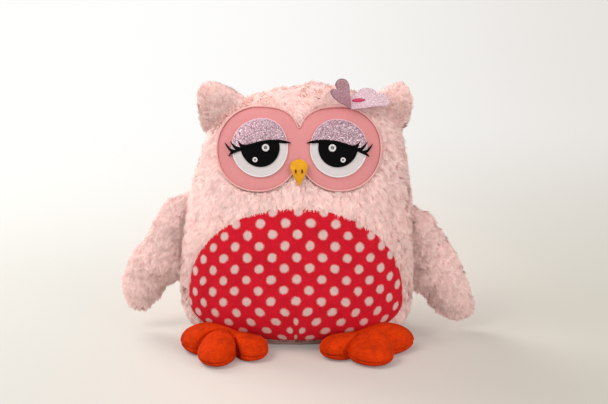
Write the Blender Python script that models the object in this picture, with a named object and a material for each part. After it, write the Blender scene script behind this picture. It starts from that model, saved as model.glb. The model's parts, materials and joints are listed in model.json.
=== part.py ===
# Plush owl, modelled as it is sewn: fur panels over a filling, an applied face and
# belly, stuffed wings, ears and three-toed feet, and a glitter butterfly on the head.
# The owl faces -Y, stands on z = 0 and has the middle of its base at the origin.
import math

import bmesh
import bpy
from mathutils import Vector

MM = 0.001

# Body, from the seam plane through both sides
BODY_HEIGHT = 250.5 * MM
BODY_HALF_WIDTH = 117 * MM
BELLY_DEPTH = 84 * MM
BACK_DEPTH = 68 * MM
HEAD_LEAN = 14 * MM
BASE_THICKNESS = 3 * MM
FUR_WALL = 8 * MM
SECTION_POWER = 2.3
BODY_COLUMNS = 36
BODY_RINGS = 18
CORE_COLUMNS = 20
CORE_RINGS = 10

# Height, half width, front depth, back depth and lean, from the base to the crown
SECTION_SHARES = [
    (0.000, 0.786, 0.667, 0.706, 0.00),
    (0.024, 0.872, 0.774, 0.794, 0.00),
    (0.056, 0.932, 0.869, 0.882, -0.02),
    (0.104, 0.983, 0.952, 0.956, -0.05),
    (0.168, 1.000, 1.000, 1.000, -0.07),
    (0.255, 1.000, 1.000, 1.000, -0.04),
    (0.351, 0.991, 0.982, 0.993, 0.00),
    (0.447, 0.974, 0.940, 0.971, 0.07),
    (0.535, 0.953, 0.869, 0.934, 0.18),
    (0.623, 0.919, 0.792, 0.890, 0.29),
    (0.711, 0.876, 0.714, 0.831, 0.39),
    (0.798, 0.830, 0.625, 0.750, 0.47),
    (0.862, 0.765, 0.530, 0.647, 0.57),
    (0.918, 0.640, 0.417, 0.522, 0.71),
    (0.962, 0.462, 0.286, 0.368, 0.86),
    (0.990, 0.250, 0.149, 0.191, 0.96),
    (1.000, 0.000, 0.000, 0.000, 1.00),
]

# Clearances that every seam and layer keeps
SEAM_GAP = 0.3 * MM
LAYER_GAP = 0.35 * MM
EDGE_GAP = 0.6 * MM
UNDER_GAP = 0.5 * MM
BODY_CLEARANCE = 0.3 * MM
CUT_OVERRUN = 6 * MM
FLAT_CUT = 0.5 * MM
PROBE = 1.5 * MM

# Points taken along a curve while it is followed
CURVE_SAMPLES = 8
ARC_SAMPLES = 16
PROFILE_SAMPLES = 240
CREASE_DEGREES = 50

# Applied belly patch
SEAT_DEPTH = 6.3 * MM
PATCH_THICKNESS = 4 * MM
PATCH_HALF_WIDTH = 104.5 * MM
PATCH_SHIFT = -1.6 * MM
PATCH_WIDEST_HEIGHT = 42 * MM
PATCH_RISE = 100 * MM
PATCH_DROP = 34 * MM
PATCH_UPPER_POWER = 2.05
PATCH_LOWER_POWER = 2.3
PATCH_SIDES = 38
PATCH_STEPS = 4

# Face mask, two overlapping rounds with a waist
FACE_SHIFT = 1.8 * MM
FACE_HEIGHT = 196 * MM
MASK_THICKNESS = 2.4 * MM
MASK_LOBE_RADIUS = 41.5 * MM
MASK_LOBE_SPACING = 39.5 * MM
MASK_WAIST = 23 * MM
MASK_BLEND_POWER = 6
MASK_SIDES = 48
MASK_STEPS = 4
EDGING_RADIUS = 1.1 * MM
THREAD_SIDES = 5

# Eyes
EYE_SPACING = 37.3 * MM
EYE_RISE = 1 * MM
EYE_RADIUS = 28 * MM
EYE_THICKNESS = 1 * MM
RIM_RADIUS = 0.9 * MM
PUPIL_RADIUS = 18 * MM
PUPIL_RISE = 1.6 * MM
PUPIL_THICKNESS = 0.7 * MM
EYELID_THICKNESS = 0.8 * MM
LINE_THICKNESS = 1.1 * MM
GLINT_TUBE_RADIUS = 0.6 * MM
GLINT_LARGE_RADIUS = 2.8 * MM
GLINT_SMALL_RADIUS = 1.95 * MM
GLINT_SIDES = 12
EYE_SIDES = 28
EYE_STEPS = 2
LINE_STEP = 2.2 * MM

# Places in an eye as shares of its radius, counted outward from the beak and up
GLINT_LARGE_SHARES = (-0.22, 0.03)
GLINT_SMALL_SHARES = (0.16, -0.40)
LINE_TOP_SHARES = [(-1.04, 0.26), (-0.85, 0.28), (-0.62, 0.31), (-0.40, 0.32),
                   (-0.13, 0.29), (0.11, 0.23), (0.36, 0.15)]
LINE_UNDER_SHARES = [(0.90, -0.21), (0.69, -0.11), (0.44, 0.01), (0.11, 0.13),
                     (-0.13, 0.20), (-0.40, 0.23), (-0.62, 0.22), (-0.85, 0.20), (-1.04, 0.21)]
LID_OUTER_SHARES = [(0.75, 0.42), (1.00, 0.52)]
LID_CENTRE_SHARE = 0.6
PUPIL_CENTRE_SHARE = 0.2
LASH_SHARES = [(0.54, 0.17), (0.65, 0.24), (0.73, 0.32), (0.68, 0.19), (0.62, 0.10), (0.59, 0.06),
               (0.71, 0.07), (0.84, 0.15), (0.98, 0.26), (0.89, 0.10), (0.82, 0.01), (0.78, -0.03),
               (0.92, -0.01), (1.06, 0.08), (1.19, 0.20), (1.10, 0.03), (1.01, -0.09), (0.95, -0.13),
               (1.08, -0.25)]

# Beak
BEAK_HALF_WIDTH = 8.4 * MM
BEAK_LENGTH = 26 * MM
BEAK_TOP_DROP = 8.5 * MM
BEAK_THICKNESS = 3.6 * MM
BEAK_RAMP = 6 * MM
BEAK_SIDES = 24
BEAK_STEPS = 3
BEAK_WIDEST_SHARE = 0.31
BEAK_PINCH_SHARE = 0.28
BEAK_EDGE_SHARE = 0.4
NOSTRIL_HALF_WIDTH = 0.8 * MM
NOSTRIL_HALF_HEIGHT = 1.6 * MM
NOSTRIL_THICKNESS = 0.6 * MM
NOSTRIL_SPACING = 3.2 * MM
NOSTRIL_SIDES = 10

# Wings, sewn into the side seams
WING_TOP = 130 * MM
WING_ROOT_BOTTOM = 46 * MM
WING_REACH = 63 * MM
WING_TIP_HEIGHT = 15 * MM
WING_HALF_THICKNESS = 15 * MM
WING_WALL = 4.5 * MM
WING_SIDES = 24
WING_STEPS = 3
WING_CORE_STEPS = 2
WING_ROUND_POWER = 2.2
WING_EDGE_POWER = 0.5
WING_SEAM_POWER = 1
WING_HANG = {"left": 6 * MM, "right": -2 * MM}
WING_CENTRE_SHARES = (0.45, 0.55)
# Free edge from the upper end of the seam round the tip to its lower end, as shares of
# the reach and of the height from the tip up to the upper end
WING_EDGE_SHARES = [(0.00, 1.00), (0.29, 0.96), (0.55, 0.79), (0.77, 0.59), (0.93, 0.37), (1.00, 0.18),
                    (0.96, 0.05), (0.82, 0.00), (0.62, 0.03), (0.40, 0.14), (0.18, 0.23), (0.00, 0.27)]

# Ears, sewn over the corners of the head
EAR_CENTRE_OUT = 82 * MM
EAR_CENTRE_HEIGHT = 228 * MM
EAR_HALF_WIDTH = 26 * MM
EAR_HALF_HEIGHT = 25 * MM
EAR_HALF_THICKNESS = 11.5 * MM
EAR_WALL = 4.5 * MM
EAR_SIDES = 18
EAR_STEPS = 3
EAR_CORE_STEPS = 2
EAR_ROUND_POWER = 2.4
EAR_EDGE_SHARES = [(-0.85, 0.25), (-0.35, 0.72), (0.15, 0.96), (0.62, 0.90), (0.95, 0.50),
                   (0.98, -0.10), (0.72, -0.80), (0.10, -0.95), (-0.60, -0.60)]

# Feet, sewn under the front of the body
FOOT_SEAM_HEIGHT = 7 * MM
FOOT_RISE = 22 * MM
FOOT_WALL = 2.5 * MM
FOOT_CENTRE_OUT = 68 * MM
FOOT_CENTRE_FORWARD = 66 * MM
FOOT_HALF_WIDTH = 45 * MM
FOOT_REACH = 55 * MM
FOOT_SIDES = 28
FOOT_STEPS = 3
FOOT_CORE_STEPS = 2
FOOT_HINGE_FORWARD = 42 * MM
FOOT_ROUND_POWER = 2.4
SOLE_ROUND_POWER = 8
FOOT_DIMPLE_POWER = 1.2
FOOT_DIMPLE_SHARE = 0.42
FOOT_DIMPLE_WIDTH_DEGREES = 13
# Outline of a foot, as shares of the half width outward and of the reach forward
FOOT_EDGE_SHARES = [(-0.40, -0.30), (-0.74, -0.02), (-0.89, 0.26), (-0.82, 0.58), (-0.56, 0.73),
                    (-0.37, 0.66), (-0.27, 0.52), (-0.19, 0.72), (-0.05, 0.92), (0.18, 1.00),
                    (0.43, 0.88), (0.56, 0.62), (0.55, 0.36), (0.73, 0.33), (0.93, 0.12),
                    (1.00, -0.16), (0.80, -0.38), (0.38, -0.42), (-0.02, -0.40)]
FOOT_NOTCH_SHARES = [(-0.27, 0.52), (0.55, 0.36)]

# Butterfly on the head
BUTTERFLY_OUT = 51 * MM
BUTTERFLY_HEIGHT = 237 * MM
BUTTERFLY_THICKNESS = 0.8 * MM
BUTTERFLY_FOLD_GAP = 0.45 * MM
BUTTERFLY_SINK = 0.65 * MM
BUTTERFLY_SPAN = 38 * MM
BUTTERFLY_LENGTH = 28 * MM
BUTTERFLY_RAISED_DEGREES = 50
BUTTERFLY_FLAT_DEGREES = 15
BUTTERFLY_SIDES = 28
BUTTERFLY_EDGE_SHARES = [(0.00, -0.30), (0.00, 0.30), (0.16, 0.50), (0.38, 0.60), (0.58, 0.50),
                         (0.66, 0.26), (0.82, 0.20), (0.98, 0.02), (0.99, -0.22), (0.80, -0.38),
                         (0.40, -0.40)]
STITCH_HALF_LENGTH = 6.2 * MM
STITCH_HALF_WIDTH = 2.3 * MM
STITCH_THICKNESS = 1.6 * MM
STITCH_OFFSET = 7.6 * MM
STITCH_SIDES = 14
STITCH_STEPS = 2
STITCH_EDGE_SHARE = 0.3

# Colour, roughness and metallic value of each cloth and thread
FINISHES = {
    "pink_fur": ((0.86, 0.60, 0.56), 0.95, 0.0),
    "fibre_filling": ((0.88, 0.87, 0.84), 1.0, 0.0),
    "red_fleece": ((0.62, 0.03, 0.06), 0.9, 0.0),
    "rose_velour": ((0.80, 0.37, 0.38), 0.8, 0.0),
    "rose_edging": ((0.86, 0.52, 0.52), 0.6, 0.0),
    "grey_felt": ((0.66, 0.62, 0.62), 0.95, 0.0),
    "white_thread": ((0.88, 0.86, 0.86), 0.5, 0.0),
    "lilac_glitter": ((0.56, 0.38, 0.44), 0.35, 0.4),
    "black_thread": ((0.012, 0.010, 0.012), 0.55, 0.0),
    "yellow_felt": ((0.80, 0.40, 0.02), 0.9, 0.0),
    "brown_thread": ((0.12, 0.02, 0.02), 0.6, 0.0),
    "orange_velour": ((0.72, 0.09, 0.01), 0.85, 0.0),
    "butterfly_glitter": ((0.70, 0.42, 0.50), 0.35, 0.3),
    "magenta_thread": ((0.72, 0.06, 0.18), 0.5, 0.0),
}

SIDES = {"left": 1, "right": -1}


def clear_scene():
    for item in list(bpy.data.objects):
        bpy.data.objects.remove(item, do_unlink=True)


def finish(name):
    material = bpy.data.materials.get(name)
    if material:
        return material
    colour, roughness, metallic = FINISHES[name]
    material = bpy.data.materials.new(name)
    material.use_nodes = True
    shader = material.node_tree.nodes["Principled BSDF"]
    shader.inputs["Base Color"].default_value = (*colour, 1.0)
    shader.inputs["Roughness"].default_value = roughness
    shader.inputs["Metallic"].default_value = metallic
    return material


# Smooth curves through chosen points
def spline_point(before, start, end, after, share):
    values = []
    for p0, p1, p2, p3 in zip(before, start, end, after):
        slope_in = (p2 - p0) / 2
        slope_out = (p3 - p1) / 2
        rise = p2 - p1
        cubic = slope_in + slope_out - 2 * rise
        square = 3 * rise - 2 * slope_in - slope_out
        values.append(p1 + share * (slope_in + share * (square + share * cubic)))
    return tuple(values)


def spline(points, count, closed=False):
    spans = len(points) if closed else len(points) - 1
    result = []
    for index in range(count):
        place = index * spans / (count if closed else count - 1)
        span = min(int(place), spans - 1)
        if closed:
            four = [points[(span + step) % len(points)] for step in (-1, 0, 1, 2)]
        else:
            four = [points[min(max(span + step, 0), len(points) - 1)] for step in (-1, 0, 1, 2)]
        result.append(spline_point(*four, place - span))
    return result


def even_outline(points, count, closed=True):
    # The same curve with its points at equal distances
    dense = spline(points, count * CURVE_SAMPLES, closed)
    if closed:
        dense = dense + [dense[0]]
    lengths = [0.0]
    for start, end in zip(dense, dense[1:]):
        lengths.append(lengths[-1] + math.dist(start, end))
    result = []
    span = 0
    for index in range(count):
        target = lengths[-1] * index / (count if closed else count - 1)
        while span < len(dense) - 2 and lengths[span + 1] < target:
            span += 1
        part = (target - lengths[span]) / (lengths[span + 1] - lengths[span])
        result.append(tuple(a + (b - a) * part for a, b in zip(dense[span], dense[span + 1])))
    return result


def circle(radius, count):
    turns = [2 * math.pi * index / count for index in range(count)]
    return [(radius * math.cos(turn), radius * math.sin(turn)) for turn in turns]


# Skins and solids
def add_loft(mesh, rings, closed=False):
    rows = [[mesh.verts.new(point) for point in ring] for ring in rings]
    pairs = list(zip(rows, rows[1:]))
    if closed:
        pairs.append((rows[-1], rows[0]))
    for lower, upper in pairs:
        count = max(len(lower), len(upper))
        for index in range(count):
            ahead = (index + 1) % count
            corners = []
            for row, step in ((lower, index), (lower, ahead), (upper, ahead), (upper, index)):
                corner = row[step % len(row)]
                if corner not in corners:
                    corners.append(corner)
            mesh.faces.new(corners)
    if not closed:
        for row in (rows[0], rows[-1]):
            if len(row) > 1:
                mesh.faces.new(row)
    # One fixed split of the sides keeps a cover and its filling parallel
    sides = [face for face in mesh.faces if len(face.verts) == 4]
    bmesh.ops.triangulate(mesh, faces=sides, quad_method="FIXED")
    bmesh.ops.recalc_face_normals(mesh, faces=mesh.faces)


def keep_side(mesh, point, direction):
    # Cut by a plane, keep what lies behind its direction and close the cut
    parts = mesh.verts[:] + mesh.edges[:] + mesh.faces[:]
    bmesh.ops.bisect_plane(mesh, geom=parts, plane_co=point, plane_no=direction, clear_outer=True)
    rim = [edge for edge in mesh.edges if edge.is_boundary]
    bmesh.ops.holes_fill(mesh, edges=rim)
    bmesh.ops.recalc_face_normals(mesh, faces=mesh.faces)


def add_node(name, mesh, material, pivot=None, parent=None):
    # The mesh is given where it lies, and its object takes the pivot as its place
    pivot = Vector(pivot) if pivot else Vector()
    if mesh.calc_volume(signed=True) < 0:
        bmesh.ops.reverse_faces(mesh, faces=mesh.faces)
    bmesh.ops.translate(mesh, verts=mesh.verts, vec=-pivot)
    data = bpy.data.meshes.new(name)
    mesh.to_mesh(data)
    mesh.free()
    data.materials.append(finish(material))
    data.shade_smooth()
    data.set_sharp_from_angle(angle=math.radians(CREASE_DEGREES))
    item = bpy.data.objects.new(name, data)
    bpy.context.collection.objects.link(item)
    item.location = pivot
    if parent:
        item.parent = parent
        item.location = pivot - parent.location
    return item


def add_cutter(name, mesh, pivot=None, parent=None):
    cutter = add_node(name, mesh, "fibre_filling", pivot, parent)
    cutter.hide_render = True
    cutter.display_type = "WIRE"
    return cutter


def cut(item, *cutters):
    for cutter in cutters:
        modifier = item.modifiers.new("Cut by " + cutter.name, "BOOLEAN")
        modifier.operation = "DIFFERENCE"
        modifier.solver = "EXACT"
        modifier.object = cutter


def add_pivot(name, place):
    pivot = bpy.data.objects.new(name, None)
    bpy.context.collection.objects.link(pivot)
    pivot.location = place
    return pivot


# Body form
PROFILE = spline(SECTION_SHARES, PROFILE_SAMPLES)


def section(height):
    # Half width, front depth, back depth and lean of the body at a height
    share = min(max(height / BODY_HEIGHT, 0.0), 1.0)
    index = 0
    while index < len(PROFILE) - 2 and PROFILE[index + 1][0] < share:
        index += 1
    low, high = PROFILE[index], PROFILE[index + 1]
    part = min(max((share - low[0]) / (high[0] - low[0]), 0.0), 1.0)
    wide, front, back, lean = [a + (b - a) * part for a, b in zip(low[1:], high[1:])]
    return wide * BODY_HALF_WIDTH, front * BELLY_DEPTH, back * BACK_DEPTH, lean * HEAD_LEAN


def body_level(x, y, height):
    # Zero on the body's surface, above zero outside it
    wide, front, back, lean = section(height)
    depth = front if y < 0 else back
    if wide < PROBE or depth < PROBE:
        return 1.0
    return (abs(x - lean) / wide) ** SECTION_POWER + (abs(y) / depth) ** SECTION_POWER - 1


def body_normal(x, y, height):
    low = max(height - PROBE, 0.0)
    high = min(height + PROBE, BODY_HEIGHT - PROBE)
    across = body_level(x + PROBE, y, height) - body_level(x - PROBE, y, height)
    deep = body_level(x, y + PROBE, height) - body_level(x, y - PROBE, height)
    up = (body_level(x, y, high) - body_level(x, y, low)) * 2 * PROBE / (high - low)
    return Vector((across, deep, up)).normalized()


def front_point(x, height, lift):
    # Point on the front of the body, moved outward by the lift
    wide, front, back, lean = section(height)
    inside = max(1 - (abs(x - lean) / wide) ** SECTION_POWER, 0.0)
    depth = -front * inside ** (1 / SECTION_POWER)
    return Vector((x, depth, height)) + body_normal(x, depth, height) * lift


def body_ring(station, columns, lift):
    height = station[0] * BODY_HEIGHT
    wide, front, back, lean = section(height)
    ring = []
    for index in range(columns):
        turn = 2 * math.pi * index / columns
        cosine, sine = math.cos(turn), math.sin(turn)
        x = lean + wide * math.copysign(abs(cosine) ** (2 / SECTION_POWER), cosine)
        depth = front if sine < 0 else back
        y = depth * math.copysign(abs(sine) ** (2 / SECTION_POWER), sine)
        ring.append(Vector((x, y, height)) + body_normal(x, y, height) * lift)
    return ring


def body_rings(columns, count, lift, foot):
    # The foot is how far the skin runs straight down below the base
    stations = spline(SECTION_SHARES, count)
    rings = [body_ring(station, columns, lift) for station in stations[:-1]]
    lean = stations[-1][4] * HEAD_LEAN
    rings.append([Vector((lean, 0, BODY_HEIGHT + lift))])
    if foot:
        rings.insert(0, [Vector((point.x, point.y, -foot)) for point in rings[0]])
    return rings


def body_mesh(columns, count, lift, foot=0.0):
    mesh = bmesh.new()
    add_loft(mesh, body_rings(columns, count, lift, foot))
    return mesh


# Pads that follow the front of the body
def face_frame(x, height, side=1):
    normal = body_normal(x, front_point(x, height, 0).y, height)
    across = 1 / math.hypot(1, normal.x / normal.y)
    upward = 1 / math.hypot(1, normal.z / normal.y)

    def place(outward, up, lift):
        return front_point(x + side * outward * across, height + up * upward, lift)
    return place


def pad_mesh(outline, place, low, high, steps, centre=(0, 0)):
    # Closed pad between two lifts, as rings from its centre out to its outline and back
    def ring(share, lift):
        points = []
        for out, up in outline:
            u = centre[0] + (out - centre[0]) * share
            w = centre[1] + (up - centre[1]) * share
            points.append(place(u, w, lift(u, w, share)))
        return points
    shares = [step / steps for step in range(1, steps + 1)]
    rings = [[place(*centre, low(*centre, 0))]]
    rings += [ring(share, low) for share in shares]
    rings += [ring(share, high) for share in reversed(shares)]
    rings.append([place(*centre, high(*centre, 0))])
    mesh = bmesh.new()
    add_loft(mesh, rings)
    return mesh


def at(lift):
    return lambda u, w, share: lift


def grown(outline, amount):
    # Outline moved outward everywhere by an amount, square to its own run
    count = len(outline)
    area = 0
    for before, corner in zip(outline[-1:] + outline[:-1], outline):
        area += before[0] * corner[1] - corner[0] * before[1]
    turn = amount if area > 0 else -amount
    points = []
    for index, (out, up) in enumerate(outline):
        before, after = outline[index - 1], outline[(index + 1) % count]
        run, rise = after[0] - before[0], after[1] - before[1]
        length = math.hypot(run, rise)
        points.append((out + turn * rise / length, up - turn * run / length))
    return points


def thread_mesh(path, place, lift, radius, sides):
    # Closed round of thread along a path on the face
    points = [place(out, up, lift) for out, up in path]
    above = [place(out, up, lift + radius) for out, up in path]
    rings = []
    for index, point in enumerate(points):
        along = (points[(index + 1) % len(points)] - points[index - 1]).normalized()
        out = (above[index] - point).normalized()
        aside = along.cross(out).normalized()
        turns = [2 * math.pi * step / sides for step in range(sides)]
        rings.append([point + radius * (math.cos(turn) * out + math.sin(turn) * aside) for turn in turns])
    mesh = bmesh.new()
    add_loft(mesh, rings, closed=True)
    return mesh


def patch_outline():
    points = []
    for index in range(PATCH_SIDES):
        turn = 2 * math.pi * index / PATCH_SIDES
        cosine, sine = math.cos(turn), math.sin(turn)
        power = PATCH_UPPER_POWER if sine > 0 else PATCH_LOWER_POWER
        tall = PATCH_RISE if sine > 0 else PATCH_DROP
        across = math.copysign(abs(cosine) ** (2 / power), cosine)
        up = math.copysign(abs(sine) ** (2 / power), sine)
        points.append((PATCH_HALF_WIDTH * across, tall * up))
    return points


def mask_outline():
    points = []
    for index in range(MASK_SIDES):
        turn = 2 * math.pi * index / MASK_SIDES
        across, up = abs(math.cos(turn)), math.sin(turn)
        inside = max(MASK_LOBE_RADIUS ** 2 - (MASK_LOBE_SPACING * up) ** 2, 0.0)
        lobe = MASK_LOBE_SPACING * across + math.sqrt(inside)
        reach = (lobe ** MASK_BLEND_POWER + MASK_WAIST ** MASK_BLEND_POWER) ** (1 / MASK_BLEND_POWER)
        points.append((reach * math.cos(turn), reach * up))
    return points


PATCH_CENTRE_RISE = (PATCH_RISE - PATCH_DROP) / 3
MASK_TOP = MASK_THICKNESS + UNDER_GAP - SEAT_DEPTH
EYE_TOP = MASK_TOP + LAYER_GAP + EYE_THICKNESS
RIM_LIFT = MASK_TOP + LAYER_GAP + RIM_RADIUS
DISC_RADIUS = EYE_RADIUS - RIM_RADIUS - LAYER_GAP


def add_body():
    outer = body_mesh(BODY_COLUMNS, BODY_RINGS, 0)
    cavity = add_cutter("cavity_cutter", body_mesh(CORE_COLUMNS, CORE_RINGS, -FUR_WALL, CUT_OVERRUN))
    patch_place = face_frame(PATCH_SHIFT, PATCH_WIDEST_HEIGHT)
    patch_seat = pad_mesh(grown(patch_outline(), EDGE_GAP), patch_place,
                          at(-SEAT_DEPTH), at(CUT_OVERRUN), PATCH_STEPS, (0, PATCH_CENTRE_RISE))
    patch_cutter = add_cutter("patch_seat_cutter", patch_seat)
    mask_place = face_frame(FACE_SHIFT, FACE_HEIGHT)
    mask_seat = pad_mesh(grown(mask_outline(), EDGE_GAP), mask_place,
                         at(-SEAT_DEPTH), at(CUT_OVERRUN), MASK_STEPS)
    mask_cutter = add_cutter("mask_seat_cutter", mask_seat)

    rim_height = BASE_THICKNESS + SEAM_GAP
    panels = {
        "front_cover": [((0, -SEAM_GAP / 2, 0), (0, 1, 0))],
        "back_cover_left": [((0, SEAM_GAP / 2, 0), (0, -1, 0)), ((SEAM_GAP / 2, 0, 0), (-1, 0, 0))],
        "back_cover_right": [((0, SEAM_GAP / 2, 0), (0, -1, 0)), ((-SEAM_GAP / 2, 0, 0), (1, 0, 0))],
    }
    for name, planes in panels.items():
        panel = outer.copy()
        keep_side(panel, (0, 0, rim_height), (0, 0, -1))
        for point, direction in planes:
            keep_side(panel, point, direction)
        item = add_node(name, panel, "pink_fur")
        cut(item, cavity)
        if name == "front_cover":
            cut(item, patch_cutter, mask_cutter)

    base = outer.copy()
    keep_side(base, (0, 0, BASE_THICKNESS), (0, 0, 1))
    add_node("base_panel", base, "pink_fur")
    outer.free()

    core = body_mesh(CORE_COLUMNS, CORE_RINGS, -FUR_WALL - LAYER_GAP, CUT_OVERRUN)
    keep_side(core, (0, 0, rim_height), (0, 0, -1))
    add_node("body_filling", core, "fibre_filling")

    patch = pad_mesh(patch_outline(), patch_place, at(UNDER_GAP - SEAT_DEPTH),
                     at(UNDER_GAP - SEAT_DEPTH + PATCH_THICKNESS), PATCH_STEPS, (0, PATCH_CENTRE_RISE))
    add_node("belly_patch", patch, "red_fleece")
    mask = pad_mesh(mask_outline(), mask_place, at(UNDER_GAP - SEAT_DEPTH), at(MASK_TOP), MASK_STEPS)
    add_node("face_mask", mask, "rose_velour")
    edging_path = grown(mask_outline(), -EDGING_RADIUS)
    edging_lift = MASK_TOP + LAYER_GAP + EDGING_RADIUS
    edging = thread_mesh(edging_path, mask_place, edging_lift, EDGING_RADIUS, THREAD_SIDES)
    add_node("mask_edging", edging, "rose_edging")


def shares_of(size, shares):
    return [(size * out, size * up) for out, up in shares]


def stepped(outline, step):
    # The same outline with its long sides split
    points = []
    for start, end in zip(outline, outline[1:] + outline[:1]):
        parts = max(math.ceil(math.dist(start, end) / step), 1)
        for index in range(parts):
            points.append(tuple(a + (b - a) * index / parts for a, b in zip(start, end)))
    return points


def line_low(u, w, share):
    # The lid line lies on the eye, climbs over its rim and comes down on the mask
    reach = math.hypot(u, w)
    on_eye = EYE_TOP + LAYER_GAP
    on_rim = RIM_LIFT + RIM_RADIUS + LAYER_GAP
    on_mask = MASK_TOP + LAYER_GAP
    start = EYE_RADIUS - 4 * RIM_RADIUS
    climb = min(max((reach - start) / (2 * RIM_RADIUS), 0.0), 1.0)
    fall = min(max((reach - EYE_RADIUS - 2 * RIM_RADIUS) / (4 * RIM_RADIUS), 0.0), 1.0)
    return (on_eye + (on_rim - on_eye) * climb) * (1 - fall) + on_mask * fall


def flat_shape_mesh(outline, place, low, thickness):
    # Thin piece of any outline, laid on the face and given its thickness
    mesh = bmesh.new()
    corners = [mesh.verts.new((out, up, 0)) for out, up in outline]
    sheet = bmesh.ops.triangulate(mesh, faces=[mesh.faces.new(corners)])["faces"]
    top = bmesh.ops.extrude_face_region(mesh, geom=sheet)["geom"]
    raised = {item for item in top if isinstance(item, bmesh.types.BMVert)}
    for corner in mesh.verts:
        u, w = corner.co.x, corner.co.y
        lift = low(u, w, 1) + (thickness if corner in raised else 0)
        corner.co = place(u, w, lift)
    bmesh.ops.recalc_face_normals(mesh, faces=mesh.faces)
    return mesh


def lid_height(u, edge):
    # Height of the lid line's edge at a place across the eye
    ordered = sorted(shares_of(EYE_RADIUS, edge))
    if u <= ordered[0][0]:
        return ordered[0][1]
    for start, end in zip(ordered, ordered[1:]):
        if u <= end[0]:
            return start[1] + (end[1] - start[1]) * (u - start[0]) / (end[0] - start[0])
    start, end = ordered[-2], ordered[-1]
    return end[1] + (end[1] - start[1]) * (u - end[0]) / (end[0] - start[0])


def clipped_round(radius, rise, edge, above, count):
    # Circle kept only above or below an edge of the lid line
    shift = LAYER_GAP if above else -LAYER_GAP
    samples = [(out, up + rise) for out, up in circle(radius, count * ARC_SAMPLES)]
    kept = []
    for out, up in samples:
        limit = lid_height(out, edge) + shift
        kept.append(up > limit if above else up < limit)
    first = next(i for i in range(len(samples)) if kept[i] and not kept[i - 1])
    arc = []
    index = first
    while kept[index % len(samples)]:
        arc.append(samples[index % len(samples)])
        index += 1
    start, end = arc[-1], arc[0]
    chord = []
    for step in range(1, count):
        out = start[0] + (end[0] - start[0]) * step / count
        chord.append((out, lid_height(out, edge) + shift))
    return arc[::ARC_SAMPLES] + [arc[-1]] + chord


def add_eye(side_name):
    side = SIDES[side_name]
    x = FACE_SHIFT + side * EYE_SPACING
    height = FACE_HEIGHT + EYE_RISE
    place = face_frame(x, height, side)
    pivot = front_point(x, height, 0)

    disc_low = at(MASK_TOP + LAYER_GAP)
    disc = pad_mesh(circle(DISC_RADIUS, EYE_SIDES), place, disc_low, at(EYE_TOP), EYE_STEPS)
    add_node("eye_white_" + side_name, disc, "grey_felt", pivot)
    rim = thread_mesh(circle(EYE_RADIUS, EYE_SIDES), place, RIM_LIFT, RIM_RADIUS, THREAD_SIDES)
    add_node("eye_rim_" + side_name, rim, "white_thread", pivot)

    low = EYE_TOP + LAYER_GAP
    lid_edge = LINE_TOP_SHARES + LID_OUTER_SHARES
    lid_shape = clipped_round(DISC_RADIUS, 0, lid_edge, True, EYE_SIDES // 2)
    lid_centre = (0, EYE_RADIUS * LID_CENTRE_SHARE)
    lid = pad_mesh(lid_shape, place, at(low), at(low + EYELID_THICKNESS), EYE_STEPS, lid_centre)
    add_node("eyelid_" + side_name, lid, "lilac_glitter", pivot)

    pupil_shape = clipped_round(PUPIL_RADIUS, PUPIL_RISE, LINE_UNDER_SHARES, False, EYE_SIDES // 2)
    pupil_centre = (0, -EYE_RADIUS * PUPIL_CENTRE_SHARE)
    pupil = pad_mesh(pupil_shape, place, at(low), at(low + PUPIL_THICKNESS), EYE_STEPS, pupil_centre)
    add_node("pupil_" + side_name, pupil, "black_thread", pivot)

    line_shape = shares_of(EYE_RADIUS, LINE_TOP_SHARES + LASH_SHARES + LINE_UNDER_SHARES)
    line = flat_shape_mesh(stepped(line_shape, LINE_STEP), place, line_low, LINE_THICKNESS)
    add_node("lid_line_" + side_name, line, "black_thread", pivot)

    glint_lift = low + PUPIL_THICKNESS + LAYER_GAP + GLINT_TUBE_RADIUS
    glints = {
        "large": (GLINT_LARGE_RADIUS, GLINT_LARGE_SHARES),
        "small": (GLINT_SMALL_RADIUS, GLINT_SMALL_SHARES),
    }
    for size_name, (radius, shares) in glints.items():
        (out, up), = shares_of(EYE_RADIUS, [shares])
        path = [(out + a, up + b) for a, b in circle(radius, GLINT_SIDES)]
        ring = thread_mesh(path, place, glint_lift, GLINT_TUBE_RADIUS, THREAD_SIDES)
        name = "eye_glint_" + size_name + "_" + side_name
        add_node(name, ring, "white_thread", place(out, up, glint_lift))


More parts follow.
